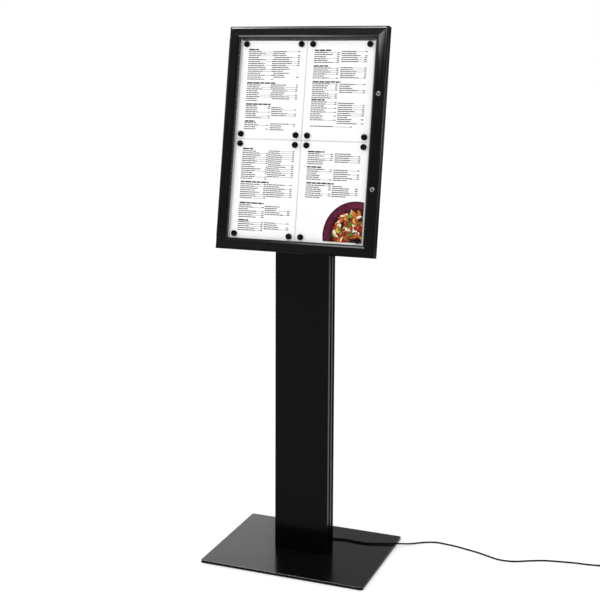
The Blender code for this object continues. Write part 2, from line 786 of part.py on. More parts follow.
def make_door(hinge):
    """Mitred door frame, its pane and the gasket that holds the pane."""
    low, high = RAIL_WALL, DOOR_CHAMBER_WIDTH - RAIL_WALL
    back = DOOR_DEPTH - RAIL_WALL
    corner = DOOR_EDGE_RADIUS - RAIL_WALL
    hole = rounded([(low, back, 0), (low, low, corner), (high, low, 0), (high, back, 0)])
    where = {"parent": hinge, "location": -HINGE_AXIS}
    rails = frame_of_rails(
        "door_rail",
        door_outline(),
        [hole],
        (low, high),
        (DOOR_EDGE_RADIUS + SEAT_GAP, back - SEAT_GAP),
        black_aluminium,
        **where,
    )
    add_part("door_pane", board_plate(PANE_EDGE, PANE_FRONT, PANE_BACK), clear_sheet, **where)

    ring = board_plate(GASKET_EDGE, GASKET_FRONT, GASKET_REAR + GASKET_WALL)
    gasket = add_part("pane_gasket", ring, rubber, **where)
    pocket_front, pocket_back = GASKET_FRONT + GASKET_WALL, GASKET_REAR
    cuts = [
        ("pane_pocket", GASKET_EDGE + GASKET_WALL, pocket_front, pocket_back),
        ("front_window", OPENING_EDGE, GASKET_FRONT - OVERRUN, pocket_back - SEAT_GAP),
        (
            "rear_window",
            DOOR_CHAMBER_WIDTH + REAR_LIP_REACH,
            pocket_front + SEAT_GAP,
            GASKET_REAR + GASKET_WALL + OVERRUN,
        ),
    ]
    for name, edge, front, back in cuts:
        combine(gasket, add_cutter(name, board_plate(edge, front, back), **where), "DIFFERENCE")
    return rails["right"]


def hinge_leaf(reach, towards):
    """Section of a leaf with its knuckle, about the hinge's axis; towards is +1 for the case."""
    flat, back = HINGE_RADIUS, HINGE_RADIUS - HINGE_LEAF
    knuckle = arc((0, 0), HINGE_RADIUS, 0, math.acos(back / HINGE_RADIUS) - math.tau, PIN_SIDES)
    outline = [(flat, reach), *knuckle, (back, reach)]
    hole = circle((0, 0), HINGE_PIN_RADIUS + SEAT_GAP, PIN_SIDES)
    return [[(x, towards * y) for x, y in loop] for loop in (outline, hole)]


def knuckle_cutter(name, first, **where):
    """Boxes that clear a leaf's edge where the other leaf has its knuckles."""
    count = round(HINGE_LENGTH / KNUCKLE_LENGTH)
    pitch = HINGE_LENGTH / count
    reach = 2 * (HINGE_RADIUS + SEAT_GAP)
    comb = bmesh.new()
    for index in range(first, count, 2):
        low = -HINGE_LENGTH / 2 + index * pitch - SEAT_GAP / 2
        high = low + pitch + SEAT_GAP
        if index == 0:
            low -= OVERRUN
        if index == count - 1:
            high += OVERRUN
        before = set(comb.verts)
        bmesh.ops.create_cube(comb, size=1.0)
        fresh = [v for v in comb.verts if v not in before]
        bmesh.ops.scale(comb, vec=(reach, reach, high - low), verts=fresh)
        bmesh.ops.translate(comb, vec=(0, 0, (low + high) / 2), verts=fresh)
    return add_cutter(name, comb, **where)


def make_hinge(head, hinge):
    """Two interleaved leaves and their pin, the case's leaf and the pin fixed to the case."""
    leaves = [
        ("hinge_leaf_case", CASE_LEAF_WIDTH, 1, 1, {"parent": head, "location": HINGE_AXIS}),
        ("hinge_leaf_door", DOOR_LEAF_WIDTH, -1, 0, {"parent": hinge}),
    ]
    for name, reach, towards, first, where in leaves:
        outline, hole = hinge_leaf(reach, towards)
        leaf = add_part(name, prism(outline, HINGE_LENGTH, [hole]), black_steel, **where)
        combine(leaf, knuckle_cutter(f"{name}_gaps", first, **where), "DIFFERENCE")
    half = HINGE_LENGTH / 2
    pin = cylinder(HINGE_PIN_RADIUS, -half, half, PIN_SIDES)
    add_part("hinge_pin", pin, steel, parent=head, location=HINGE_AXIS)


def make_lock(name, z, hinge, stile):
    """A cam lock: body in the door's stile, keyed plug, and the cam that turns behind the strike."""
    at = Vector((HEAD_WIDTH / 2 - LOCK_INSET, 0, z)) - HINGE_AXIS
    where = {"parent": hinge, "location": at}
    hole = cylinder(LOCK_BODY_DIAMETER / 2 + SEAT_GAP, -OVERRUN, DOOR_DEPTH + OVERRUN, axis="Y")
    combine(stile, add_cutter(f"lock_hole_{name}", hole, **where), "DIFFERENCE")

    flange_front = -SEAT_GAP - LOCK_FLANGE_HEIGHT
    shell = cylinder(LOCK_BODY_DIAMETER / 2, flange_front / 2, LOCK_BODY_END, axis="Y")
    body = add_part(f"lock_body_{name}", shell, chrome, **where)
    rim = add_cutter(
        f"lock_flange_{name}",
        cylinder(LOCK_FLANGE_DIAMETER / 2, flange_front, -SEAT_GAP, axis="Y"),
        **where,
    )
    combine(body, rim, "UNION")
    bore_radius = PLUG_DIAMETER / 2 + SEAT_GAP
    bore = cylinder(bore_radius, flange_front - OVERRUN, LOCK_BODY_END + OVERRUN, axis="Y")
    combine(body, add_cutter(f"lock_bore_{name}", bore, **where), "DIFFERENCE")

    pivot = bpy.data.objects.new(f"lock_axis_{name}", None)
    parts.objects.link(pivot)
    place(pivot, hinge, at)
    plug_end = CAM_FRONT - SEAT_GAP
    core = cylinder(PLUG_DIAMETER / 2, flange_front, plug_end, axis="Y")
    plug = add_part(f"lock_plug_{name}", core, chrome, parent=pivot)
    tail_end = CAM_FRONT + CAM_THICKNESS + PLUG_TAIL_END
    tail_start = plug_end - PLUG_SQUARE
    tail = box(
        (PLUG_SQUARE, tail_end - tail_start, PLUG_SQUARE), (0, (tail_start + tail_end) / 2, 0)
    )
    combine(plug, add_cutter(f"plug_tail_{name}", tail, parent=pivot), "UNION")
    slot = box(
        (KEYWAY_WIDTH, KEYWAY_DEPTH + OVERRUN, KEYWAY_HEIGHT),
        (0, flange_front + (KEYWAY_DEPTH - OVERRUN) / 2, 0),
    )
    combine(plug, add_cutter(f"keyway_{name}", slot, parent=pivot), "DIFFERENCE")

    half = CAM_WIDTH / 2
    lever = arc((0, 0), half, 0, math.pi, ARC_STEPS * 2)
    lever += arc((0, half - CAM_REACH), half, math.pi, math.tau, ARC_STEPS * 2)
    reach = PLUG_SQUARE / 2 + SEAT_GAP
    bm = stand_up(prism(lever, CAM_THICKNESS, [rectangle((-reach, -reach), (reach, reach))]))
    cam_at = (0, CAM_FRONT + CAM_THICKNESS / 2, 0)
    add_part(f"lock_cam_{name}", bm, steel, parent=pivot, location=cam_at)


def make_gland():
    """Cable gland: thread through the column's back wall, collar, and tapered strain relief."""
    wall_back = COLUMN_BACK_Y
    collar_start = wall_back + SEAT_GAP
    collar_end = collar_start + GLAND_COLLAR_LENGTH
    relief_end = collar_end + GLAND_RELIEF_LENGTH
    thread_start = wall_back - GLAND_THREAD_LENGTH
    where = {"location": (0, 0, GLAND_Z)}
    collar = cylinder(GLAND_COLLAR_DIAMETER / 2, collar_start, collar_end, 6, "Y")
    gland = add_part("cable_gland", collar, black_plastic, **where)
    thread_end = (collar_start + collar_end) / 2
    thread = cylinder(GLAND_THREAD_DIAMETER / 2, thread_start, thread_end, axis="Y")
    combine(gland, add_cutter("gland_thread", thread, **where), "UNION")
    relief_start = thread_end + (collar_end - thread_end) / 2
    relief = cylinder(
        GLAND_RELIEF_ROOT / 2, relief_start, relief_end, PIN_SIDES, "Y", GLAND_RELIEF_TIP / 2
    )
    combine(gland, add_cutter("gland_relief", relief, **where), "UNION")
    return thread_start, relief_end


def smooth_curve(points, step):
    """Points spaced evenly along a smooth curve through the given ones."""
    route = [Vector(p) for p in points]
    dense = []
    for i in range(len(route) - 1):
        p1, p2 = route[i], route[i + 1]
        before = route[i - 1] if i else p1 - (p2 - p1)
        after = route[i + 2] if i + 2 < len(route) else p2 + (p2 - p1)
        for k in range(SPAN_SAMPLES):
            t = k / SPAN_SAMPLES
            bend = 2 * before - 5 * p1 + 4 * p2 - after
            twist = -before + 3 * p1 - 3 * p2 + after
            dense.append((2 * p1 + (p2 - before) * t + bend * t**2 + twist * t**3) / 2)
    dense.append(route[-1])
    return evenly_spaced(dense, step)


def path_length(points):
    return sum((b - a).length for a, b in zip(points, points[1:]))


def evenly_spaced(points, step):
    """A path's points at equal distances, about a step apart, with both ends kept."""
    total = path_length(points)
    count = round(total / step)
    wanted = [total * i / count for i in range(count + 1)]
    found, travelled, i = [], 0.0, 0
    for distance in wanted[:-1]:
        while travelled + (points[i + 1] - points[i]).length <= distance:
            travelled += (points[i + 1] - points[i]).length
            i += 1
        span = (points[i + 1] - points[i]).length
        found.append(points[i].lerp(points[i + 1], (distance - travelled) / span))
    return found + [points[-1]]


def tube(name, points, radius, rings, material):
    curve = bpy.data.curves.new(name, "CURVE")
    curve.dimensions = "3D"
    curve.bevel_depth = radius
    curve.bevel_resolution = rings
    curve.use_fill_caps = True
    spline = curve.splines.new("POLY")
    spline.points.add(len(points) - 1)
    for knot, point in zip(spline.points, points, strict=True):
        knot.co = (*point, 1)
    part = bpy.data.objects.new(name, curve)
    curve.materials.append(material)
    parts.objects.link(part)
    return part


def filleted_path(corners, radius):
    """A path of straight runs with an arc of the given radius at each inner corner."""
    path = [Vector(corners[0])]
    for before, corner, after in zip(corners, corners[1:], corners[2:]):
        corner = Vector(corner)
        back, on = (Vector(before) - corner).normalized(), (Vector(after) - corner).normalized()
        half = back.angle(on) / 2
        centre = corner + (back + on).normalized() * radius / math.sin(half)
        start = (corner + back * radius / math.tan(half) - centre).normalized()
        end = (corner + on * radius / math.tan(half) - centre).normalized()
        for i in range(ARC_STEPS + 1):
            path.append(centre + start.slerp(end, i / ARC_STEPS) * radius)
    return path + [Vector(corners[-1])]


def make_inner_lead(column, bracket, panel, head, lead_start):
    """The low voltage lead inside column and case, the holes it runs through, and its terminals."""
    depth_at = BOARD_FRONT + BOARD_THICKNESS + INNER_LEAD_DIAMETER
    turn_at = CASE_BACK_TOP + INTO_THE_BOARD * (depth_at - HEAD_DEPTH)
    turn_at += UP_THE_BOARD * ((LEAD_Z - turn_at.z) / UP_THE_BOARD.z)
    hole = cylinder(
        LEAD_HOLE_DIAMETER / 2, turn_at.y, COLUMN_FRONT_Y + COLUMN_WALL + OVERRUN, axis="Y"
    )
    cutter = add_cutter("lead_hole", hole, location=(0, 0, LEAD_Z))
    for part in (column, bracket, panel):
        combine(part, cutter, "DIFFERENCE")

    block_low = turn_at + UP_THE_BOARD * BLOCK_RISE
    rest_depth = PANEL_FRONT - SEAT_GAP - BLOCK_THICKNESS / 2
    local = (block_low - HEAD_ORIGIN).dot(UP_THE_BOARD) + BLOCK_HEIGHT / 2
    block = chamfered_box((BLOCK_WIDTH, BLOCK_THICKNESS, BLOCK_HEIGHT), BLOCK_CHAMFER)
    add_part("terminal_block", block, white_plastic, parent=head, location=(0, rest_depth, local))
    corners = [
        (0, lead_start - SEAT_GAP, GLAND_Z),
        (0, COLUMN_CENTRE_Y, GLAND_Z),
        (0, COLUMN_CENTRE_Y, LEAD_Z),
        tuple(turn_at),
        tuple(block_low - UP_THE_BOARD * SEAT_GAP),
    ]
    path = filleted_path(corners, INNER_LEAD_BEND)
    tube("inner_lead", path, INNER_LEAD_DIAMETER / 2, TUBE_RINGS, lead_black)


def eased(share):
    """A smooth step from 0 to 1."""
    share = min(max(share, 0.0), 1.0)
    return share * share * (3 - 2 * share)


def coil_path(start):
    """One run of lead from the route's end: in and out in layers, then a tail down to the plug."""
    turns = COIL_LAYERS * COIL_TURNS_PER_LAYER
    swing = COIL_PITCH * COIL_TURNS_PER_LAYER
    outer = COIL_MEAN_DIAMETER / 2 + swing / 2
    centre = start + Vector((CORD_DIAMETER, outer, 0))
    path = [start]
    count = round(turns * POINTS_PER_TURN)
    for i in range(count + 1):
        turned = i / POINTS_PER_TURN
        layer = min(int(turned / COIL_TURNS_PER_LAYER), COIL_LAYERS - 1)
        share = turned / COIL_TURNS_PER_LAYER - layer
        radius = outer - swing * (share if layer % 2 == 0 else 1 - share)
        climb = sum(
            eased((turned - k * COIL_TURNS_PER_LAYER) * 2 + 0.5) for k in range(1, COIL_LAYERS)
        )
        angle = -math.pi / 2 + math.tau * turned
        spoke = Vector((radius * math.cos(angle), radius * math.sin(angle), climb * COIL_LAYER))
        path.append(centre + spoke)
    top = path[-1]
    foot = PLUG_ENTRY_HEIGHT
    for i in range(1, ARC_STEPS * 2 + 1):
        share = i / (ARC_STEPS * 2)
        drop = (top.z - foot) * eased(share)
        path.append(top + Vector((COIL_TAIL * share, 0, -drop)))
    path.append(path[-1] + Vector((CORD_DIAMETER, 0, 0)))
    return path


def least_gap(points, diameter):
    """The smallest clear distance between turns, measured between points half a turn or more apart."""
    apart = POINTS_PER_TURN // 2
    nearest = min(
        (a - b).length for i, a in enumerate(points) for b in points[i + apart :]
    )
    return nearest - diameter


def make_plug(end):
    """A plug-in power supply with a boot where the lead enters and two round pins."""
    boot_start = end.x + SEAT_GAP
    boot_end = boot_start + PLUG_BOOT_LENGTH
    length, width, height = PLUG_BODY
    centre = (boot_end + length / 2, end.y, height / 2)
    housing = chamfered_box(PLUG_BODY, PLUG_CORNER, centre, 2)
    plug = add_part("power_plug", housing, black_plastic)
    boot = cylinder(
        PLUG_BOOT_TIP / 2, boot_start, boot_end + PLUG_CORNER, PIN_SIDES, "X", PLUG_BOOT_ROOT / 2
    )
    boot_at = (0, end.y, end.z)
    combine(plug, add_cutter("plug_boot", boot, location=boot_at), "UNION")
    for name, side in (("near", -1), ("far", 1)):
        pin = cylinder(
            PLUG_PIN_DIAMETER / 2,
            end.y + width / 2 - PLUG_CORNER,
            end.y + width / 2 + PLUG_PIN_LENGTH,
            PIN_SIDES,
            "Y",
        )
        pin_x = boot_end + length - PLUG_PIN_SETBACK - PLUG_PIN_SPACING * (1 - side) / 2
        pin_at = (pin_x, 0, height / 2)
        combine(plug, add_cutter(f"plug_pin_{name}", pin, location=pin_at), "UNION")


def make_cord(exit_y):
    """The free lead: its laid stretch, its put away coil, and the plug beside it."""
    first = Vector((0, exit_y + SEAT_GAP, GLAND_Z))
    straight = Vector((0, CORD_DIAMETER, 0))
    route = [first, first + straight] + [Vector(p) for p in CORD_ROUTE]
    laid = smooth_curve(route, CORD_STEP_SHARE * CORD_DIAMETER)
    tube("supply_cord", laid, CORD_RADIUS, TUBE_RINGS, lead_black)
    wound = coil_path(laid[-1] + Vector((SEAT_GAP, 0, 0)))
    tube("supply_cord_coil", wound, CORD_RADIUS, COIL_RINGS, lead_black)
    make_plug(wound[-1])
    total = path_length(laid) + path_length(wound)
    print(f"lead: {path_length(laid):.3f} m laid, {total:.3f} m in all, {len(laid)} points")
    print(f"coil: least gap to itself {least_gap(wound, CORD_DIAMETER) * 1000:.2f} mm")


for old in list(bpy.data.objects):
    bpy.data.objects.remove(old)
parts = new_collection("menu_display_stand")
cutters = new_collection("cutters")

black_steel = new_material("black_powder_coated_steel", (0.018, 0.018, 0.019), 0.42)
black_aluminium = new_material("black_anodised_aluminium", (0.016, 0.016, 0.017), 0.34, 0.6)
bare_aluminium = new_material("bare_aluminium", (0.62, 0.62, 0.63), 0.35, 1.0)
white_steel = new_material("white_coated_steel", (0.82, 0.82, 0.81), 0.4)
chrome = new_material("chrome", (0.75, 0.75, 0.76), 0.12, 1.0)
steel = new_material("zinc_plated_steel", (0.5, 0.5, 0.5), 0.35, 1.0)
rubber = new_material("black_rubber", (0.012, 0.012, 0.012), 0.75)
clear_sheet = new_material("clear_acrylic", (0.95, 0.96, 0.97), 0.04, 0.0, 0.25)
paper = new_material("white_paper", (0.9, 0.9, 0.88), 0.7)
magnet_black = new_material("magnet_black", (0.015, 0.015, 0.016), 0.4)
lit_strip = new_material("light_strip", (0.95, 0.94, 0.88), 0.5)
black_plastic = new_material("black_plastic", (0.02, 0.02, 0.021), 0.45)
white_plastic = new_material("white_plastic", (0.8, 0.8, 0.78), 0.45)
lead_black = new_material("lead_black_sheath", (0.012, 0.012, 0.013), 0.5)

head_frame = place(
    bpy.data.objects.new("head_frame", None), location=HEAD_ORIGIN, rotation=(-HEAD_TILT, 0, 0)
)
door_hinge = place(bpy.data.objects.new("door_hinge", None), head_frame, HINGE_AXIS)
parts.objects.link(head_frame)
parts.objects.link(door_hinge)

make_base()
column_part = make_column()
bracket_part = make_bracket()
panel_part = make_case(head_frame)
make_board(head_frame)
make_light_bars(head_frame)
make_sheets(head_frame)
right_stile = make_door(door_hinge)
make_hinge(head_frame, door_hinge)
make_lock("upper", LOCK_SPACING / 2, door_hinge, right_stile)
make_lock("lower", -LOCK_SPACING / 2, door_hinge, right_stile)
gland_inside, gland_outside = make_gland()
make_inner_lead(column_part, bracket_part, panel_part, head_frame, gland_inside)
make_cord(gland_outside)
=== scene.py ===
# Looks of the illuminated menu display stand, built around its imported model.
# Metres, z up. The reader stands on the -y side.

import math
import random

import bmesh
import bpy
from mathutils import Matrix, Vector


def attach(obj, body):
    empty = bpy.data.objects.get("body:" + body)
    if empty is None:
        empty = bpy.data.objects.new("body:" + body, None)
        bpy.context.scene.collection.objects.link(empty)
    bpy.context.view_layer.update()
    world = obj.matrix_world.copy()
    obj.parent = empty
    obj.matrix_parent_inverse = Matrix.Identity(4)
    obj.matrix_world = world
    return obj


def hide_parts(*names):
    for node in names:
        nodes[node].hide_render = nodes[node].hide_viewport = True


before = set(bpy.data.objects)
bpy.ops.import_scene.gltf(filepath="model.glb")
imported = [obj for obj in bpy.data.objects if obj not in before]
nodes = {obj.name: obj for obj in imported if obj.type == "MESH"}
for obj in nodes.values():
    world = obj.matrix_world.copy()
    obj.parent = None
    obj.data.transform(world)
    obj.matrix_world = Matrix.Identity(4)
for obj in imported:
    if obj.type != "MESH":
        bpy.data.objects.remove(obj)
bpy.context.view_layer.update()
print("frame loaded:", len(nodes), "nodes")

# The display leans back. Board places are (across, up, out towards the reader) from its middle.
tilt = math.radians(10)
boardUp = Vector((0, math.sin(tilt), math.cos(tilt)))
boardOut = Vector((0, -math.cos(tilt), math.sin(tilt)))
boardMiddle = Vector((0, -0.0473950, 1.2935428))  # on the front of the door
boardMatrix = Matrix.Translation(boardMiddle) @ Matrix(
    ((1, 0, 0, 0), (0, boardUp.y, boardOut.y, 0), (0, boardUp.z, boardOut.z, 0), (0, 0, 0, 1))
)


def placeObject(name, data):
    thing = bpy.data.objects.new(name, data)
    bpy.context.scene.collection.objects.link(thing)
    return thing


def placeMesh(name, mesh, materials):
    data = bpy.data.meshes.new(name)
    mesh.to_mesh(data)
    mesh.free()
    for material in materials:
        data.materials.append(material)
    return placeObject(name, data)


# Camera, at the photograph's viewing angle
cameraLook = {
    "place": (1.242, -3.2427, 1.5226),
    "turn": 0.3701,  # to the left of straight back
    "dip": 0.1403,
    "roll": 0.0044,
    "lens": 69.80,
    "rise": -0.125,  # vertical shift
}


def makeCamera(look):
    across = Vector((math.cos(look["turn"]), math.sin(look["turn"]), 0))
    ahead = Vector((-math.sin(look["turn"]), math.cos(look["turn"]), 0))
    ahead = ahead * math.cos(look["dip"]) - Vector((0, 0, math.sin(look["dip"])))
    upward = across.cross(ahead)
    right = across * math.cos(look["roll"]) + upward * math.sin(look["roll"])
    top = upward * math.cos(look["roll"]) - across * math.sin(look["roll"])
    data = bpy.data.cameras.new("camera")
    data.lens = look["lens"]
    data.sensor_width = 36
    data.shift_y = look["rise"]
    data.clip_end = 60
    camera = placeObject("camera", data)
    turned = Matrix((right, top, -ahead)).transposed().to_4x4()
    camera.matrix_world = Matrix.Translation(look["place"]) @ turned
    bpy.context.scene.camera = camera


makeCamera(cameraLook)
print("camera set")


# Node groups that several finishes share
def startGroup(name, inputs, outputs):
    group = bpy.data.node_groups.new(name, "ShaderNodeTree")
    for label, kind, value in inputs:
        socket = group.interface.new_socket(label, in_out="INPUT", socket_type="NodeSocket" + kind)
        if value is not None:
            socket.default_value = value
    for label, kind in outputs:
        group.interface.new_socket(label, in_out="OUTPUT", socket_type="NodeSocket" + kind)
    return group, group.nodes.new("NodeGroupInput"), group.nodes.new("NodeGroupOutput")


noiseSpan = {"From Min": 0.3, "From Max": 0.7}  # what noise mostly stays in


def setInputs(node, values):
    for key, value in values.items():
        node.inputs[key].default_value = value


def addNode(tree, kind, settings=None, values=None):
    node = tree.nodes.new("ShaderNode" + kind)
    for key, value in (settings or {}).items():
        setattr(node, key, value)
    setInputs(node, values or {})
    return node


def wire(start, output, end, socket):  # from an output of one node to a socket of another
    start.id_data.links.new(start.outputs[output], end.inputs[socket])


def grainGroup():  # fine pores, with slow patches over them
    group, start, end = startGroup(
        "surfaceGrain",
        [("Vector", "Vector", None), ("Scale", "Float", 900.0)],
        [("Height", "Float"), ("Mask", "Float")],
    )
    fine = addNode(group, "TexNoise", values={"Detail": 3.0, "Roughness": 0.55})
    slow = addNode(group, "Math", {"operation": "MULTIPLY"}, {1: 0.06})
    coarse = addNode(group, "TexNoise", values={"Detail": 2.0, "Roughness": 0.5})
    spread = addNode(group, "MapRange", values=noiseSpan)
    for node in (fine, coarse):
        wire(start, "Vector", node, "Vector")
    wire(start, "Scale", fine, "Scale")
    wire(start, "Scale", slow, 0)
    wire(slow, 0, coarse, "Scale")
    wire(coarse, "Fac", spread, "Value")
    wire(fine, "Fac", end, "Height")
    wire(spread, "Result", end, "Mask")
    return group


def drawnGroup():  # lines that a die or a brush leaves along x of the given vector
    group, start, end = startGroup(
        "drawnLines",
        [("Vector", "Vector", None), ("Scale", "Float", 1400.0), ("Along", "Float", 6.0)],
        [("Height", "Float")],
    )
    parts = addNode(group, "SeparateXYZ")
    joined = addNode(group, "CombineXYZ")
    lines = addNode(group, "TexNoise", values={"Scale": 1.0, "Detail": 2.0, "Roughness": 0.6})
    wire(start, "Vector", parts, 0)
    for axis, size in (("X", "Along"), ("Y", "Scale"), ("Z", "Scale")):
        scaled = addNode(group, "Math", {"operation": "MULTIPLY"})
        wire(parts, axis, scaled, 0)
        wire(start, size, scaled, 1)
        wire(scaled, 0, joined, axis)
    wire(joined, 0, lines, "Vector")
    wire(lines, "Fac", end, "Height")
    return group


def handlingGroup():  # roughness that wanders where hands and cloths have been
    group, start, end = startGroup(
        "handledSheen",
        [
            ("Vector", "Vector", None),
            ("Scale", "Float", 9.0),
            ("Low", "Float", 0.25),
            ("High", "Float", 0.35),
        ],
        [("Roughness", "Float"), ("Mask", "Float")],
    )
    smears = addNode(
        group, "TexNoise", values={"Detail": 4.0, "Roughness": 0.62, "Distortion": 0.8}
    )
    spread = addNode(group, "MapRange", values=noiseSpan)
    mask = addNode(group, "MapRange", values=noiseSpan)
    wire(start, "Vector", smears, "Vector")
    wire(start, "Scale", smears, "Scale")
    wire(smears, "Fac", spread, "Value")
    wire(start, "Low", spread, "To Min")
    wire(start, "High", spread, "To Max")
    wire(smears, "Fac", mask, "Value")
    wire(spread, "Result", end, "Roughness")
    wire(mask, "Result", end, "Mask")
    return group


grain = grainGroup()
drawn = drawnGroup()
handled = handlingGroup()
print("node groups made")

# Finishes: a colour and a worn one (on chrome, painted glints over a painted dark reflection),
# the range of roughness, the pores' scale and depth, and the scale, depth and turn of drawn lines
alongZ = (0, math.radians(90), 0)
anodised = {
    "colour": (0.0024, 0.0024, 0.0026), "wornAndGlint": (0.0038, 0.0038, 0.0041),
    "sheen": (0.15, 0.20), "specular": 0.075, "grain": (2400, 0.00001),
    "drawn": (1500, 0.000015, (0, 0, 0)),
}
anodisedRound = {  # the same metal where it is rounded or bevelled
    "colour": (0.0024, 0.0024, 0.0026), "wornAndGlint": (0.0038, 0.0038, 0.0041),
    "sheen": (0.11, 0.15), "grain": (2400, 0.000004),
}
printed = {"sheen": (0.46, 0.58), "specular": 0.01, "grain": (520, 0.00001)}
finishLooks = {
    "powderCoatBlack": {
        "colour": (0.0026, 0.0026, 0.0028), "wornAndGlint": (0.0044, 0.0044, 0.0048),
        "sheen": (0.17, 0.22), "specular": 0.045, "grain": (1300, 0.00001),
    },
    # the base plate's rim: a lighter colour, a painted highlight, and more specular
    "powderCoatEdge": {
        "colour": (0.0040, 0.0040, 0.0043), "wornAndGlint": (0.0070, 0.0070, 0.0074),
        "sheen": (0.16, 0.22), "specular": 0.5, "grain": (1300, 0.000004),
    },
    "powderCoatHinge": {
        "colour": (0.0050, 0.0050, 0.0053), "wornAndGlint": (0.0080, 0.0080, 0.0085),
        "sheen": (0.34, 0.44), "specular": 0.20, "grain": (1500, 0.00003),
    },
    "anodisedAcross": anodised,
    "anodisedUp": {**anodised, "drawn": (1500, 0.000015, alongZ)},
    "anodisedEdge": {**anodisedRound, "specular": 0.5},
    "anodisedFoot": {**anodisedRound, "specular": 0.07},
    "anodisedColumn": {
        "colour": (0.0012, 0.0012, 0.0013), "wornAndGlint": (0.0018, 0.0018, 0.0020),
        "sheen": (0.15, 0.20), "specular": 0.072, "grain": (2400, 0.000003),
        "drawn": (1500, 0.000004, alongZ),
    },
    "anodisedGrey": {
        "colour": (0.042, 0.042, 0.045), "wornAndGlint": (0.060, 0.060, 0.064),
        "sheen": (0.30, 0.40), "specular": 0.3, "grain": (2400, 0.00001),
        "drawn": (1500, 0.00001, (0, 0, 0)),
    },
    "anodisedPale": {
        "colour": (0.60, 0.60, 0.605), "wornAndGlint": (0.68, 0.68, 0.685),
        "sheen": (0.36, 0.46), "specular": 0.1, "grain": (2400, 0.00001),
        "drawn": (1500, 0.00001, (0, 0, 0)),
    },
    "bareAluminium": {
        "colour": (0.50, 0.50, 0.51), "wornAndGlint": (0.60, 0.60, 0.61),
        "sheen": (0.32, 0.44), "metallic": 1.0, "grain": (2000, 0.00001),
        "drawn": (1600, 0.00002, (0, 0, 0)),
    },
    "boardWhite": {
        "colour": (0.62, 0.62, 0.63), "wornAndGlint": (0.68, 0.68, 0.69),
        "sheen": (0.30, 0.38), "specular": 0.05, "grain": (900, 0.00002),
    },
    "zincSteel": {
        "colour": (0.42, 0.43, 0.44), "wornAndGlint": (0.58, 0.58, 0.57),
        "sheen": (0.26, 0.42), "metallic": 1.0, "grain": (1200, 0.00002),
    },
    # chrome: its two colours are a painted dark reflection and painted glints, set in small
    # patches
    "chrome": {
        "colour": (0.03, 0.03, 0.031), "wornAndGlint": (0.95, 0.95, 0.955),
        "sheen": (0.07, 0.14), "metallic": 1.0, "grain": (3400, 0.000004), "patches": True,
    },
    # the lock's plug: chrome painted dark, a painted dark reflection
    "chromeShade": {
        "colour": (0.09, 0.09, 0.092), "wornAndGlint": (0.14, 0.14, 0.142),
        "sheen": (0.16, 0.24), "metallic": 1.0, "grain": (2500, 0.000004),
    },
    "screwBlack": {
        "colour": (0.020, 0.020, 0.021), "wornAndGlint": (0.050, 0.050, 0.051),
        "sheen": (0.24, 0.36), "metallic": 1.0, "grain": (2500, 0.00001),
    },
    "strapBlack": {
        "colour": (0.0060, 0.0060, 0.0062), "wornAndGlint": (0.0120, 0.0120, 0.0124),
        "sheen": (0.70, 0.85), "specular": 0.1, "grain": (1800, 0.00008),
        "drawn": (2200, 0.00008, (0, 0, 0)),
    },
    "rubberBlack": {
        "colour": (0.0045, 0.0045, 0.0045), "wornAndGlint": (0.0080, 0.0080, 0.0080),
        "sheen": (0.62, 0.78), "specular": 0.15, "grain": (1600, 0.00004),
    },
    "magnetBlack": {
        "colour": (0.0010, 0.0010, 0.0010), "wornAndGlint": (0.0018, 0.0018, 0.0019),
        "sheen": (0.40, 0.50), "specular": 0.0, "grain": (1300, 0.00002),
    },
    "plasticBlack": {
        "colour": (0.0055, 0.0055, 0.0058), "wornAndGlint": (0.0085, 0.0085, 0.0090),
        "sheen": (0.38, 0.50), "specular": 0.22, "grain": (1500, 0.00004),
    },
    "chipYellow": {
        "colour": (0.62, 0.55, 0.30), "wornAndGlint": (0.72, 0.66, 0.42),
        "sheen": (0.30, 0.40), "specular": 0.3, "grain": (2500, 0.00001),
    },
    "plasticWhite": {
        "colour": (0.72, 0.72, 0.69), "wornAndGlint": (0.80, 0.80, 0.77),
        "sheen": (0.36, 0.46), "specular": 0.45, "grain": (1200, 0.00003),
    },
    "paperWhite": {
        "colour": (0.90, 0.90, 0.90), "wornAndGlint": (0.93, 0.93, 0.93),
        "sheen": (0.46, 0.58), "specular": 0.01, "grain": (1500, 0.00002),
    },
    "leadSheath": {
        "colour": (0.0010, 0.0010, 0.0010), "wornAndGlint": (0.0020, 0.0020, 0.0021),
        "sheen": (0.40, 0.52), "specular": 0.01, "grain": (1500, 0.00002),
    },
    "inkGrey": {
        "colour": (0.004, 0.004, 0.004), "wornAndGlint": (0.008, 0.008, 0.008),
        "sheen": (0.55, 0.70), "specular": 0.0, "grain": (2500, 0.00001),
    },
    "inkBlack": {
        "colour": (0.001, 0.001, 0.001), "wornAndGlint": (0.002, 0.002, 0.002),
        "sheen": (0.50, 0.65), "specular": 0.0, "grain": (2500, 0.00001),
    },
    "printPlum": {**printed, "colour": (0.085, 0.006, 0.026), "wornAndGlint": (0.150, 0.012, 0.048)},
    "printWine": {**printed, "colour": (0.022, 0.003, 0.005), "wornAndGlint": (0.050, 0.004, 0.010)},
    "printRed": {**printed, "colour": (0.34, 0.010, 0.005), "wornAndGlint": (0.56, 0.050, 0.012)},
    "printOrange": {**printed, "colour": (0.56, 0.100, 0.012), "wornAndGlint": (0.74, 0.240, 0.040)},
    "printYellow": {**printed, "colour": (0.66, 0.350, 0.040), "wornAndGlint": (0.84, 0.600, 0.160)},
    "printGreen": {**printed, "colour": (0.070, 0.130, 0.010), "wornAndGlint": (0.420, 0.540, 0.060)},
    "printCream": {**printed, "colour": (0.78, 0.680, 0.480), "wornAndGlint": (0.90, 0.860, 0.740)},
}


def startMaterial(name):
    material = bpy.data.materials.new(name)
    material.use_nodes = True
    tree = material.node_tree
    return material, tree, tree.nodes["Principled BSDF"]


def useGroup(tree, group, vector, values):
    node = addNode(tree, "Group", {"node_tree": group}, values)
    tree.links.new(vector, node.inputs["Vector"])
    return node


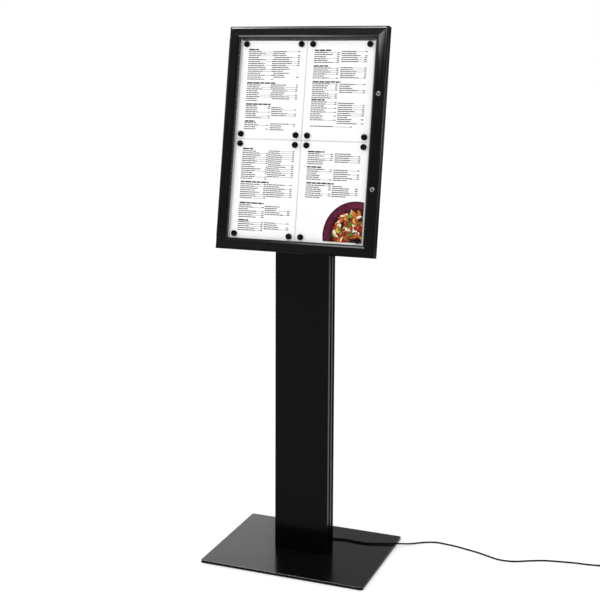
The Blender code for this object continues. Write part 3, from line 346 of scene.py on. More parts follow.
def makeFinish(name, look):
    material, tree, shader = startMaterial(name)
    place = addNode(tree, "TexCoord").outputs["Object"]
    pores = useGroup(tree, grain, place, {"Scale": look["grain"][0]})
    hands = useGroup(tree, handled, place, {"Low": look["sheen"][0], "High": look["sheen"][1]})
    ends = {"A": (*look["colour"], 1), "B": (*look["wornAndGlint"], 1)}
    blend = addNode(tree, "Mix", {"data_type": "RGBA"}, ends)
    share = addNode(tree, "Math", {"operation": "MULTIPLY"})
    wire(pores, "Mask", share, 0)
    # with patches, the pores' mask twice over scatters painted glints over a painted dark
    # reflection
    wire(pores if look.get("patches") else hands, "Mask", share, 1)
    wire(share, 0, blend, "Factor")
    wire(blend, "Result", shader, "Base Color")
    wire(hands, "Roughness", shader, "Roughness")
    shine = {"Metallic": look.get("metallic", 0), "Specular IOR Level": look.get("specular", 0.5)}
    setInputs(shader, shine)
    bump = addNode(tree, "Bump", values={"Strength": 0.6, "Distance": look["grain"][1]})
    wire(pores, "Height", bump, "Height")
    if "drawn" in look:
        scale, depth, turn = look["drawn"]
        turned = addNode(tree, "Mapping", values={"Rotation": turn})
        tree.links.new(place, turned.inputs["Vector"])
        lines = useGroup(tree, drawn, turned.outputs[0], {"Scale": scale})
        second = addNode(tree, "Bump", values={"Strength": 0.6, "Distance": depth})
        wire(lines, "Height", second, "Height")
        wire(bump, "Normal", second, "Normal")
        bump = second
    wire(bump, "Normal", shader, "Normal")
    return material


finishes = {name: makeFinish(name, look) for name, look in finishLooks.items()}

paneLook = {
    "clear": (0.99, 0.995, 0.995, 1),
    "dull": (0.975, 0.98, 0.98, 1),
    "smears": 5.0,
    "ior": 1.16,
}


def makePaneFinish(look):
    material, tree, shader = startMaterial("clearPane")
    place = addNode(tree, "TexCoord").outputs["Object"]
    hands = useGroup(tree, handled, place, {"Scale": look["smears"]})
    tint = addNode(tree, "Mix", {"data_type": "RGBA"}, {"A": look["clear"], "B": look["dull"]})
    wire(hands, "Mask", tint, "Factor")
    wire(tint, "Result", shader, "Base Color")
    setInputs(shader, {"Roughness": 0, "IOR": look["ior"], "Transmission Weight": 1})
    # light reaches the sheets straight through the pane
    passing = addNode(tree, "BsdfTransparent")
    path = addNode(tree, "LightPath")
    light = addNode(tree, "Math", {"operation": "MAXIMUM"})
    mix = addNode(tree, "MixShader")
    wire(path, "Is Shadow Ray", light, 0)
    wire(path, "Is Diffuse Ray", light, 1)
    wire(light, 0, mix, 0)
    wire(shader, 0, mix, 1)
    wire(passing, 0, mix, 2)
    wire(mix, 0, tree.nodes["Material Output"], "Surface")
    return material


finishes["clearPane"] = makePaneFinish(paneLook)

stripLook = {
    "colour": (0.05, 0.05, 0.05, 1),
    "glow": (1.0, 0.99, 0.96, 1),
    "dim": (0.7, 0.693, 0.672, 1),
    "strength": 0.02,
    "patches": 260.0,
    "roughness": 0.4,
}


def makeStripFinish(look):  # the strip's dark board, with a faint glow between its lights
    material, tree, shader = startMaterial("lightStrip")
    place = addNode(tree, "TexCoord").outputs["Object"]
    pores = useGroup(tree, grain, place, {"Scale": look["patches"]})
    setInputs(shader, {"Base Color": look["colour"], "Roughness": look["roughness"]})
    setInputs(shader, {"Emission Strength": look["strength"]})
    glow = addNode(tree, "Mix", {"data_type": "RGBA"}, {"A": look["glow"], "B": look["dim"]})
    wire(pores, "Mask", glow, "Factor")
    wire(glow, "Result", shader, "Emission Color")
    return material


finishes["lightStrip"] = makeStripFinish(stripLook)

# Which nodes wear each finish, by the start of their names. The longest start counts.
nodeFinishes = {
    "powderCoatBlack": ("base_plate", "tilt_bracket", "back_panel"),
    "powderCoatHinge": ("hinge_leaf",),
    "anodisedColumn": ("column",),
    "anodisedAcross": ("case_rail_top", "case_rail_bottom", "door_rail_top", "door_rail_bottom"),
    "anodisedUp": ("case_rail_left", "case_rail_right", "door_rail_left", "door_rail_right"),
    "anodisedGrey": ("light_bar", "board_trim"),
    "bareAluminium": ("foot_insert",),
    "zincSteel": ("hinge_pin", "lock_cam"),
    "chrome": ("lock_body",),
    # the lock's plug wears chrome painted dark, a painted dark reflection
    "chromeShade": ("lock_plug",),
    "rubberBlack": ("base_mat", "pane_gasket"),
    "plasticBlack": ("column_cap", "cable_gland", "power_plug"),
    "plasticWhite": ("terminal_block",),
    "leadSheath": ("inner_lead", "supply_cord"),
    "boardWhite": ("magnetic_board",),
    "paperWhite": ("menu_sheet",),
    "magnetBlack": ("magnet_",),
    "lightStrip": ("led_strip",),
    "clearPane": ("door_pane",),
}

# Rounded and bevelled faces are smoother than the flats, whose way out is given
edgeFinishes = {
    "door_rail_top": ("anodisedEdge", boardOut),
    "door_rail_bottom": ("anodisedFoot", boardOut),
    # the plate's rim also takes a lighter colour, a painted highlight
    "base_plate": ("powderCoatEdge", Vector((0, 0, 1))),
}


def finishNodes():
    starts = {start: finish for finish, group in nodeFinishes.items() for start in group}
    for name, node in nodes.items():
        start = max((s for s in starts if name.startswith(s)), key=len)
        node.data.materials.clear()
        node.data.materials.append(finishes[starts[start]])
        if name in edgeFinishes:
            finish, out = edgeFinishes[name]
            node.data.materials.append(finishes[finish])
            for face in node.data.polygons:
                if 0.15 < face.normal.dot(out) < 0.99:
                    face.material_index = 1


finishNodes()

# The upright bars' thin lips over the sheets' edges are pale
lipLook = {
    "bars": ("light_bar_left", "light_bar_right"),
    "finish": "anodisedPale",
    "reach": 0.2153,  # how far across the board they go
}


def paintLips(look):
    for name in look["bars"]:
        data = nodes[name].data
        data.materials.append(finishes[look["finish"]])
        for face in data.polygons:
            if face.normal.dot(boardOut) > 0.9 and abs(face.center.x) < look["reach"]:
                face.material_index = 1


paintLips(lipLook)
print("finishes made:", len(finishes))

# Small radii that real edges have. They catch the light.
edgeLooks = {
    "door_rail": 0.0005,
    "case_rail": 0.0004,
    "column": 0.0004,
    "base_plate": 0.0004,
    "tilt_bracket": 0.0005,
    "magnet_": 0.0004,
    "lock_body": 0.0006,
}


def softenEdges(node, width):
    weld = node.modifiers.new("joined", "WELD")
    weld.merge_threshold = 0.00001
    bevel = node.modifiers.new("softEdges", "BEVEL")
    bevel.width = width
    bevel.segments = 2
    bevel.limit_method = "ANGLE"
    bevel.angle_limit = math.radians(30)
    bevel.harden_normals = True


for name, node in nodes.items():
    for start, width in edgeLooks.items():
        if name.startswith(start) and name != "column_cap":
            softenEdges(node, width)
print("edges softened")


# Helpers for new pieces
def addPiece(name, mesh, finishNames, body, smooth=None):
    piece = placeMesh(name, mesh, [finishes[finish] for finish in finishNames])
    if smooth is not None:
        piece.data.shade_smooth()
        piece.data.set_sharp_from_angle(angle=math.radians(smooth))
    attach(piece, body)
    return piece


def paintMade(made, material):  # the faces that an operator has just made
    for face in {f for v in made["verts"] for f in v.link_faces}:
        face.material_index = material


def joinPart(mesh, part, material=0):  # adds a part, in one material, to a piece's mesh
    for face in part.faces:
        face.material_index = material
    data = bpy.data.meshes.new("part")
    part.to_mesh(data)
    part.free()
    mesh.from_mesh(data)
    bpy.data.meshes.remove(data)


def addBar(mesh, across, up, width, height, out, thick, material=0):
    # a bar that lies on the board, from its top left corner
    middle = Vector((across + width / 2, up - height / 2, out + thick / 2))
    shape = Matrix.Translation(middle) @ Matrix.Diagonal((width, height, thick, 1))
    paintMade(bmesh.ops.create_cube(mesh, size=1, matrix=boardMatrix @ shape), material)


def roundPlace(at, way):
    return Matrix.Translation(at) @ Vector(way).to_track_quat("Z", "Y").to_matrix().to_4x4()


def addRound(mesh, profile, place, sides, material=0, hexAt=()):
    # a turned shape round z of place, from (radius, height) pairs; pairs in hexAt are hexagons
    part = bmesh.new()
    line = [part.verts.new((radius, 0, height)) for radius, height in profile]
    edges = [part.edges.new(pair) for pair in zip(line, line[1:])]
    bmesh.ops.spin(
        part, geom=line + edges, axis=(0, 0, 1), cent=(0, 0, 0), angle=math.tau, steps=sides,
        use_merge=True,
    )
    bmesh.ops.holes_fill(part, edges=[e for e in part.edges if e.is_boundary], sides=0)
    near = 0.0000001
    for radius, height in (profile[i] for i in hexAt):
        for vert in part.verts:
            if abs(vert.co.z - height) < near and abs(vert.co.xy.length - radius) < near:
                turned = math.atan2(vert.co.y, vert.co.x) % (math.pi / 3)
                vert.co.xy *= math.cos(math.pi / 6) / math.cos(turned - math.pi / 6)
    bmesh.ops.recalc_face_normals(part, faces=part.faces[:])
    part.transform(place)
    joinPart(mesh, part, material)


def addRoundedBox(mesh, low, high, radius, steps, cut=None):
    # a box with rounded edges; cut is a plane (point, way) whose far side goes
    low, high = Vector(low), Vector(high)
    part = bmesh.new()
    shape = Matrix.Translation((low + high) / 2) @ Matrix.Diagonal((*(high - low), 1))
    bmesh.ops.create_cube(part, size=1, matrix=shape)
    bmesh.ops.bevel(
        part, geom=part.edges[:], offset=radius, segments=steps, profile=0.5, affect="EDGES",
        clamp_overlap=True, material=-1,
    )
    if cut:
        made = bmesh.ops.bisect_plane(
            part, geom=part.verts[:] + part.edges[:] + part.faces[:], plane_co=cut[0],
            plane_no=cut[1], clear_outer=True,
        )
        rim = [e for e in made["geom_cut"] if isinstance(e, bmesh.types.BMEdge)]
        bmesh.ops.holes_fill(part, edges=rim)
    joinPart(mesh, part)


def ribbed(look):  # (radius, height) pairs of a taper with grooves between its ribs
    (radius, height), (endRadius, endHeight) = look["from"], look["to"]
    pairs = []
    for i in range(look["ribs"]):
        for share, deep in look["rib"]:
            at = (i + share) / look["ribs"] * look["reach"] + look["skip"]
            wide = radius + (endRadius - radius) * at - deep * look["groove"]
            pairs.append((wide, height + at * (endHeight - height)))
    return pairs


# Lead: the route over the plate and the floor, then the coil that is put away
leadLook = {
    "diameter": 0.0048,
    "exit": (0, 0.0596, 0.040),
    "coilTurns": (4, 2.75),  # layers, turns in each
    "coilPitch": 0.0056,
    "coilLayer": 0.0055,
    "coilMean": 0.0556,
    "tail": 0.058,
    "plugEntry": 0.0085,
    "gap": 0.0003,
    "plate": 0.0122,  # height of its middle on the base plate
    "floor": 0.0025,  # and on the floor
}
leadRoute = {  # its middle's places (right, back), and its heights where they change
    "drop": [(0.003, 0.079, 0.0370), (0.016, 0.091, 0.0240), (0.039, 0.096, 0.0135)],
    "plate": [
        (0.067, 0.097), (0.099, 0.103), (0.119, 0.103), (0.154, 0.100), (0.186, 0.104),
        (0.230, 0.119), (0.260, 0.1315),
    ],
    "edge": [(0.281, 0.1475, 0.0088), (0.300, 0.166, 0.0045)],
    "floor": [
        (0.326, 0.1895), (0.352, 0.205), (0.378, 0.212), (0.402, 0.210), (0.438, 0.205),
        (0.475, 0.195), (0.511, 0.185), (0.549, 0.170), (0.573, 0.160), (0.595, 0.156),
        (0.6175, 0.158), (0.640, 0.165), (0.672, 0.182), (0.709, 0.199), (0.740, 0.208),
        (0.772, 0.214), (0.808, 0.220), (0.835, 0.222), (0.861, 0.225), (0.881, 0.229),
        (0.905, 0.2335), (0.926, 0.2355), (0.940, 0.2355),
    ],
}


def eased(share):
    share = min(max(share, 0), 1)
    return share * share * (3 - 2 * share)


def smoothRoute(points, samples=8):
    route = [Vector(p) for p in points]
    line = []
    for i in range(len(route) - 1):
        p1, p2 = route[i], route[i + 1]
        before = route[i - 1] if i else p1 * 2 - p2
        after = route[i + 2] if i + 2 < len(route) else p2 * 2 - p1
        for k in range(samples):
            t = k / samples
            bend = before * 2 - p1 * 5 + p2 * 4 - after
            twist = p1 * 3 - before - p2 * 3 + after
            line.append((p1 * 2 + (p2 - before) * t + bend * t**2 + twist * t**3) / 2)
    return line + [route[-1]]


def coilRoute(start, look):
    layers, turnsEach = look["coilTurns"]
    swing = look["coilPitch"] * turnsEach
    outer = look["coilMean"] / 2 + swing / 2
    centre = start + Vector((look["diameter"], outer, 0))
    line = [start]
    for i in range(round(layers * turnsEach * 24) + 1):
        turned = i / 24
        layer = min(int(turned / turnsEach), layers - 1)
        share = turned / turnsEach - layer
        radius = outer - swing * (share if layer % 2 == 0 else 1 - share)
        climb = sum(eased((turned - k * turnsEach) * 2 + 0.5) for k in range(1, layers))
        angle = math.tau * (turned - 0.25)
        spoke = (radius * math.cos(angle), radius * math.sin(angle), climb * look["coilLayer"])
        line.append(centre + Vector(spoke))
    top = line[-1]
    for i in range(1, 9):
        drop = (top.z - look["plugEntry"]) * eased(i / 8)
        line.append(top + Vector((look["tail"] * i / 8, 0, -drop)))
    line.append(line[-1] + Vector((look["diameter"], 0, 0)))
    return line, centre


def makeLead(look, route):
    start = Vector(look["exit"])
    spots = [start, start + Vector((0, look["diameter"], 0))]
    for part, places in route.items():
        spots += [place if len(place) == 3 else (*place, look[part]) for place in places]
    laid = smoothRoute(spots)
    for point in laid:
        point.z = max(point.z, look["floor"])
    wound, centre = coilRoute(laid[-1] + Vector((look["gap"], 0, 0)), look)
    points = laid + wound
    curve = bpy.data.curves.new("supply_lead", "CURVE")
    curve.dimensions = "3D"
    curve.bevel_depth = look["diameter"] / 2
    curve.bevel_resolution = 4
    curve.use_fill_caps = True
    spline = curve.splines.new("POLY")
    spline.points.add(len(points) - 1)
    for knot, point in zip(spline.points, points):
        knot.co = (*point, 1)
    curve.materials.append(finishes["leadSheath"])
    lead = placeObject("supply_lead", curve)
    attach(lead, "stand")
    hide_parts("supply_cord", "supply_cord_coil")
    return lead, points, centre


lead, leadPoints, coilCentre = makeLead(leadLook, leadRoute)

# A strap round the coil's turns, whose free end lies on top under a stitched block
tieLook = {
    "width": 0.0075,
    "thick": 0.0009,
    "spare": (0.0006, 0.0007),  # between the strap and the turns, beside and above them
    "corner": 0.0045,
    "lowest": (0.0002, 0.00029),  # its inside and its outside under the coil
    "sunk": 0.0002,
    "end": {"long": 0.011, "thick": 0.0009, "radius": 0.0003},
    "block": {"from": 0.001, "to": 0.0055, "side": 0.0008, "thick": 0.0016, "radius": 0.0004},
    "turn": math.radians(-50),  # round the coil
}


def makeTie(look, centre, lead):
    beside, above = look["spare"]
    half = (lead["coilPitch"] * lead["coilTurns"][1] + lead["diameter"]) / 2 + beside
    high = (lead["coilTurns"][0] - 1) * lead["coilLayer"] + lead["diameter"] + above
    left, right = centre.x - look["width"] / 2, centre.x + look["width"] / 2
    middle = centre.y + lead["coilMean"] / 2
    band = bmesh.new()
    spots = ((half, 0), (half, high), (-half, high), (-half, 0))
    corners = [band.verts.new((left, middle + across, rise)) for across, rise in spots]
    band.faces.new(corners)
    bmesh.ops.bevel(
        band, geom=corners, offset=look["corner"], segments=6, profile=0.5, affect="VERTICES",
        material=-1,
    )
    flat = band.faces[:]
    grown = bmesh.ops.extrude_edge_only(band, edges=band.edges[:])
    moved = [v for v in grown["geom"] if isinstance(v, bmesh.types.BMVert)]
    bmesh.ops.translate(band, vec=(look["width"], 0, 0), verts=moved)
    bmesh.ops.delete(band, geom=flat, context="FACES_ONLY")
    bmesh.ops.recalc_face_normals(band, faces=band.faces[:])
    inside = [v.co.copy() for v in band.verts]
    bmesh.ops.solidify(band, geom=band.faces[:], thickness=-look["thick"])
    for vert in band.verts:
        outer = min((vert.co - spot).length for spot in inside) > look["thick"] / 2
        vert.co.z = max(vert.co.z, look["lowest"][outer])
    mesh = bmesh.new()
    joinPart(mesh, band)
    lift, sunk = high + look["thick"], look["sunk"]
    end, block = look["end"], look["block"]
    near = middle - end["long"] / 2
    addRoundedBox(
        mesh, (left, near, lift - sunk), (right, near + end["long"], lift + end["thick"]),
        end["radius"], 2,
    )
    addRoundedBox(
        mesh, (left - block["side"], near + block["from"], lift - sunk),
        (right + block["side"], near + block["to"], lift + block["thick"]), block["radius"], 2,
    )
    turn = Matrix.Rotation(look["turn"], 3, "Z")
    bmesh.ops.rotate(mesh, cent=centre, matrix=turn, verts=mesh.verts[:])
    bmesh.ops.recalc_face_normals(mesh, faces=mesh.faces[:])
    return addPiece("coil_tie", mesh, ["strapBlack"], "stand", smooth=35)


coilTie = makeTie(tieLook, coilCentre, leadLook)

# Plug-in supply: two half shells with a seam, a ribbed boot and two sleeved pins
plugLook = {
    "low": (1.0222, 0.2155, 0.0),
    "high": (1.0842, 0.2555, 0.028),
    "corner": 0.004,
    "seam": 0.00025,
    "core": 0.0005,  # how deep the seam is
    "grips": {"count": 5, "from": 0.020, "pitch": 0.0055, "wide": 0.0018, "edge": 0.010},
    "gripDepth": (0.0015, 0.00002),  # under the top face
    "gripRadius": 0.0004,
    "boot": {
        "from": (0.0034, 0.0),
        "to": (0.00475, 0.0162),
        "ribs": 5,
        "rib": ((0.10, 0), (0.20, 0), (0.26, 1), (0.84, 1), (0.92, 0)),
        "reach": 0.86,
        "skip": 0.05,
        "groove": 0.0006,
    },
    "bootAt": 1.0083,
    "bootMouth": [(0.002924, 0), (0.0034, 0.0005)],
    "pinsAt": (1.0512, 1.0702),
    "pinsSunk": 0.001,
    "collar": [(0.0034, 0), (0.0034, 0.0016), (0.0030, 0.002), (0.0019, 0.002)],
    "sleeve": [(0.0019, 0.0005), (0.0019, 0.0100)],
    "pin": {"radius": 0.00195, "from": 0.0095, "to": 0.0188, "dome": 0.0010},
    "sides": 20,
}


def makePlug(look):
    mesh = bmesh.new()
    low, high = Vector(look["low"]), Vector(look["high"])
    middle = (low.z + high.z) / 2
    core = Vector((look["core"],) * 3)
    addRoundedBox(mesh, low + core, high - core, look["corner"], 4)
    for way in (1, -1):
        edge = Vector((0, 0, middle + way * look["seam"]))
        addRoundedBox(mesh, low, high, look["corner"], 4, cut=(edge, Vector((0, 0, -way))))
    grips, (deep, shallow) = look["grips"], look["gripDepth"]
    for i in range(grips["count"]):
        x = low.x + grips["from"] + i * grips["pitch"]
        addRoundedBox(
            mesh, (x, low.y + grips["edge"], high.z - deep),
            (x + grips["wide"], high.y - grips["edge"], high.z - shallow), look["gripRadius"], 2,
        )
    profile = [*look["bootMouth"], *ribbed(look["boot"]), look["boot"]["to"]]
    place = roundPlace((look["bootAt"], leadPoints[-1].y, leadLook["plugEntry"]), (1, 0, 0))
    addRound(mesh, profile, place, look["sides"])
    pin = look["pin"]
    tip = [(pin["radius"], pin["from"])]
    for k in range(5):
        bend = math.radians(90 * k / 4.4)
        tip.append((pin["radius"] * math.cos(bend), pin["to"] + pin["dome"] * math.sin(bend)))
    for x in look["pinsAt"]:
        place = roundPlace((x, high.y - look["pinsSunk"], middle), (0, 1, 0))
        addRound(mesh, look["collar"], place, look["sides"])
        addRound(mesh, look["sleeve"], place, look["sides"])
        addRound(mesh, tip, place, look["sides"], 1)
    piece = addPiece("supply_plug", mesh, ["plasticBlack", "zincSteel"], "stand", smooth=40)
    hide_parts("power_plug")
    return piece


supplyPlug = makePlug(plugLook)

# Cable gland, as (radius, distance behind the column's middle) pairs
glandLook = {
    "rise": 0.040,
    "thread": [(0.0054, 0.0265), (0.0060, 0.0272), (0.0060, 0.0352)],
    "washer": [(0.0078, 0.0343), (0.0078, 0.0349), (0.0074, 0.0352)],
    "nut": [(0.0080, 0.0350), (0.0089, 0.0356), (0.0089, 0.0380), (0.0080, 0.0386)],
    "dome": [(0.0072, 0.0384), (0.0070, 0.0392), (0.0062, 0.0400), (0.0052, 0.0403)],
    "relief": {
        "from": (0.0051, 0.0402),
        "to": (0.0034, 0.0593),
        "ribs": 6,
        "rib": ((0.06, 0), (0.52, 0), (0.60, 1), (0.94, 1)),
        "reach": 0.94,
        "skip": 0.0,
        "groove": 0.0007,
    },
    "root": (0.0051, 0.0398),
    "mouth": [(0.0034, 0.0585), (0.0030, 0.0593)],
    "sides": 24,
}


def makeGland(look):
    mesh = bmesh.new()
    here = roundPlace((0, 0, look["rise"]), (0, 1, 0))
    for part in ("thread", "washer", "dome"):
        addRound(mesh, look[part], here, look["sides"])
    addRound(mesh, look["nut"], here, look["sides"], 0, (1, 2))
    relief = [look["root"], *ribbed(look["relief"]), *look["mouth"]]
    addRound(mesh, relief, here, look["sides"])
    piece = addPiece("lead_relief", mesh, ["plasticBlack"], "stand", smooth=40)
    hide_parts("cable_gland")
    return piece


makeGland(glandLook)

print("strap, supply and gland made")

# Lights and resistors along the two strips
chipLook = {
    "across": 0.218417,
    "out": -0.01014,
    "lean": math.radians(14.8),
    "reach": 0.284,
    "pitch": 0.01667,
    "chip": (0.0028, 0.0035, 0.0007),
    "resistor": (0.0016, 0.0009, 0.0004),
    "every": 3,  # lights to a resistor
}


def makeChips(side, name, look):
    mesh = bmesh.new()
    count = int(2 * look["reach"] / look["pitch"])
    slope = Matrix.Rotation(-side * look["lean"], 4, "Y")
    for i in range(count + 1):
        up = (i - count / 2) * look["pitch"]
        between = up + look["pitch"] / 2
        for size, at, material in ((look["chip"], up, 0), (look["resistor"], between, 1)):
            if material and (i % look["every"] or i == count):
                continue
            here = Matrix.Translation((side * look["across"], at, look["out"])) @ slope
            shape = here @ Matrix.Translation((0, 0, size[2] / 2)) @ Matrix.Diagonal((*size, 1))
            made = bmesh.ops.create_cube(mesh, size=1, matrix=boardMatrix @ shape)
            paintMade(made, material)
    return addPiece("led_chips_" + name, mesh, ["chipYellow", "plasticBlack"], "stand")


makeChips(-1, "left", chipLook)
makeChips(1, "right", chipLook)

# Screws: on the hinge's leaves, the back panel's edge and the column's back.
# A head is its radius, its height and its socket's depth.
screwLook = {
    "leafAcross": -0.2516,
    "leafUp": (-0.275, 0.275, 12),
    "leafHeads": {  # how far out, then the head
        "stand": (-0.0196, (0.0021, 0.0007, 0.00056)),
        "door": (-0.0091, (0.0011, 0.0005, 0.0004)),
    },
    "panelOut": -0.0299,
    "panelEdge": (0.2365, 0.3225),
    "panelCount": (5, 7),
    "panelHead": (0.0032, 0.0018, 0.0012),
    "columnBack": 0.0339,
    "columnScrews": ((-0.03, 1.06), (0.03, 1.06), (-0.03, 1.15), (0.03, 1.15)),
    "columnHead": (0.0055, 0.0030, 0.0022),
    "washer": [(0.0078, 0), (0.0078, 0.0008), (0.0074, 0.0011)],
    "washerTop": 0.0010,
}


def addScrew(mesh, place, head):  # a low domed head with a hexagon socket
    radius, high, deep = head
    profile = [
        (radius, 0),
        (radius * 0.96, high * 0.45),
        (radius * 0.66, high),
        (radius * 0.44, high),
        (radius * 0.42, high - deep),
    ]
    addRound(mesh, profile, place, 12, 0, (3, 4))


def makeScrews(look):
    low, high, count = look["leafUp"]
    for body, (out, head) in look["leafHeads"].items():
        mesh = bmesh.new()
        for i in range(count):
            up = low + (high - low) * i / (count - 1)
            at = boardMatrix @ Vector((look["leafAcross"], up, out))
            addScrew(mesh, roundPlace(at, (-1, 0, 0)), head)
        addPiece("hinge_screws_" + body, mesh, ["powderCoatHinge"], body, smooth=35)
    mesh = bmesh.new()
    across, up = look["panelEdge"]
    wide, tall = look["panelCount"]
    spots = []
    for side in (-1, 1):
        spots += [(across * (2 * i / (wide - 1) - 1), side * up) for i in range(wide)]
        spots += [(side * across, up * (2 * i / (tall - 1) - 1)) for i in range(1, tall - 1)]
    for x, y in spots:
        at = boardMatrix @ Vector((x, y, look["panelOut"]))
        addScrew(mesh, roundPlace(at, -boardOut), look["panelHead"])
    addPiece("panel_screws", mesh, ["screwBlack"], "stand", smooth=35)
    mesh = bmesh.new()
    for x, z in look["columnScrews"]:
        place = roundPlace((x, look["columnBack"], z), (0, 1, 0))
        addRound(mesh, look["washer"], place, 24)
        addScrew(mesh, place @ Matrix.Translation((0, 0, look["washerTop"])), look["columnHead"])
    addPiece("column_screws", mesh, ["screwBlack"], "stand", smooth=35)


makeScrews(screwLook)
print("lights and screws made")

# Print on the four sheets, in millimetres from each sheet's top left corner: plain bars only
printLook = {
    "pitch": 5.9,  # from line to line
    "height": 2.55,
    "headingHeight": 4.2,
    "film": 0.00003,
    "above": 0.00001,
    "sheetFront": -0.0135,
    "sheetSize": (0.210, 0.297),
    "sheetMiddle": (0.10675, 0.15025),
    "drop": 0.0019,  # below the board's middle
    "marked": 0.75,  # share of the lines that end in a price mark
    "ledShare": 0.75,  # and of those, the ones with a leader
    "leader": 0.8,
    "darkShare": 0.4,  # of the marks
    "words": (4.0, 13.0),
    "wordGap": (0.8, 1.3),
    "marks": (5.5, 8.5),
    "headingWords": (11, 21),
    "seed": 20,
}
# headings are (x, y, width) and blocks are (x, y, width, lines)
sheetPrints = {
    "upper_left": {
        "corner": (-1, 1),
        "headings": [(24.4, 28.0, 32), (24.4, 128.9, 92), (26.0, 192.8, 80), (26.0, 244.2, 33)],
        "blocks": [
            (24.2, 34.2, 84, 15), (108.2, 33.6, 82, 14), (24.8, 134.6, 84, 9),
            (109.0, 134.0, 80, 8), (25.8, 198.0, 80, 7), (109.6, 202.0, 80, 5),
            (24.8, 249.2, 78, 4), (108.2, 250.6, 80, 4),
        ],
    },
    "upper_right": {
        "corner": (1, 1),
        "headings": [(22.0, 30.0, 52), (21.8, 76.4, 45), (21.6, 123.4, 88), (21.6, 176.6, 42)],
        "blocks": [
            (21.4, 35.8, 79, 6), (106.8, 33.0, 79, 6), (21.4, 82.0, 79, 6), (105.8, 80.6, 80, 6),
            (21.6, 128.8, 79, 8), (106.2, 129.6, 80, 5), (21.2, 182.4, 80, 10),
            (105.6, 185.4, 82, 11), (22.6, 254.2, 130, 1),
        ],
    },
    "lower_left": {
        "corner": (-1, -1),
        "headings": [(25.6, 26.8, 33), (26.6, 126.4, 90), (27.0, 189.8, 79), (27.0, 241.6, 32)],
        "blocks": [
            (24.8, 33.4, 84, 15), (109.6, 31.6, 83, 14), (25.6, 133.0, 83, 8),
            (110.2, 132.4, 82, 7), (25.4, 196.0, 82, 7), (110.2, 197.4, 80, 5),
            (25.6, 247.0, 81, 5), (110.4, 246.4, 79, 4),
        ],
    },
    "lower_right": {
        "corner": (1, -1),
        "headings": [(21.8, 29.6, 52), (21.6, 74.6, 45), (23.0, 121.8, 86)],
        "blocks": [
            (22.2, 35.2, 78, 6), (106.4, 33.6, 79, 5), (22.4, 80.6, 78, 6), (105.4, 81.0, 80, 6),
            (22.6, 127.8, 78, 7), (104.4, 128.6, 79, 6),
        ],
    },
}


def sheetCorner(side, level, look):  # top left corner of a sheet on the board
    width, height = look["sheetSize"]
    across, up = look["sheetMiddle"]
    return side * across - width / 2, level * up - look["drop"] + height / 2


def addInk(mesh, x, y, width, height, look, material):
    left, top = look["at"]
    addBar(
        mesh, left + x / 1000, top - y / 1000, width / 1000, height / 1000,
        look["sheetFront"] + look["above"], look["film"], material,
    )


def printLine(mesh, x, y, width, look, chance):
    # a line of words, some with a thin leader and a price mark at the right
    high = look["height"]
    item = chance.random() < look["marked"]
    reach = width * (chance.uniform(0.42, 0.74) if item else chance.uniform(0.34, 0.62))
    at = 0.0
    while at < reach:
        word = min(chance.uniform(*look["words"]), reach - at + 1.5)
        addInk(mesh, x + at, y, word, high, look, 0)
        at += word + chance.uniform(*look["wordGap"])
    if item:
        mark = chance.uniform(*look["marks"])
        if chance.random() < look["ledShare"]:
            long = width - mark - at - 2
            addInk(mesh, x + at + 0.5, y + high * 0.6, long, look["leader"], look, 0)
        dark = chance.random() < look["darkShare"]
        addInk(mesh, x + width - mark, y, mark, high, look, int(dark))


def makePrint(name, sheet, look, seed):
    chance = random.Random(seed)
    mesh = bmesh.new()
    here = {**look, "at": sheetCorner(*sheet["corner"], look)}
    for x, y, width in sheet["headings"]:
        at = 0.0
        while at < width:
            word = min(chance.uniform(*look["headingWords"]), width - at)
            addInk(mesh, x + at, y - 1.2, word, look["headingHeight"], here, 1)
            at += word + 2.0
    for x, y, width, lines in sheet["blocks"]:
        for i in range(lines):
            printLine(mesh, x, y + i * look["pitch"], width, here, chance)
    return addPiece("menu_print_" + name, mesh, ["inkGrey", "inkBlack"], "stand")


for i, (name, sheet) in enumerate(sheetPrints.items()):
    makePrint(name, sheet, printLook, printLook["seed"] + i)
print("print made")

# A plain pattern of cut shapes in a plum ring, at the foot of the lower right sheet
pictureLook = {
    "centre": (185.3, 271.4),  # millimetres from the sheet's top left corner
    "rings": ((100.7, "printWine"), (96.5, "printPlum"), (81.0, "printWine"), (76.5, "printWine")),
    "edges": (206.2, 291.6),  # right and lower edges of the print
    "step": 0.0000015,
    "seed": 7,
    "count": 360,
    "arc": (math.radians(80), math.radians(205)),
    "sizes": (3.0, 9.5),
    "widths": (0.32, 0.45, 0.7, 0.95),  # of the length
    "sides": (5, 6, 8, 14),
    "outline": (1.12, 1.16),
    "colours": {
        "printRed": 30,
        "printOrange": 22,
        "printYellow": 15,
        "printCream": 13,
        "printGreen": 12,
        "printWine": 16,
    },
}


def addShape(mesh, place, turn, size, sides, level, material):
    # one flat cut shape, an ellipse of few sides or many
    look = printLook
    left, top = sheetCorner(1, -1, look)
    middle = Vector((left + place[0] / 1000, top - place[1] / 1000, look["sheetFront"] + level))
    flat = Matrix.Diagonal((size[0] / 1000, size[1] / 1000, 1, 1))
    spread = Matrix.Rotation(turn, 4, "Z") @ flat
    made = bmesh.ops.create_circle(
        mesh, cap_ends=True, segments=sides, radius=1,
        matrix=boardMatrix @ Matrix.Translation(middle) @ spread,
    )
    paintMade(made, material)


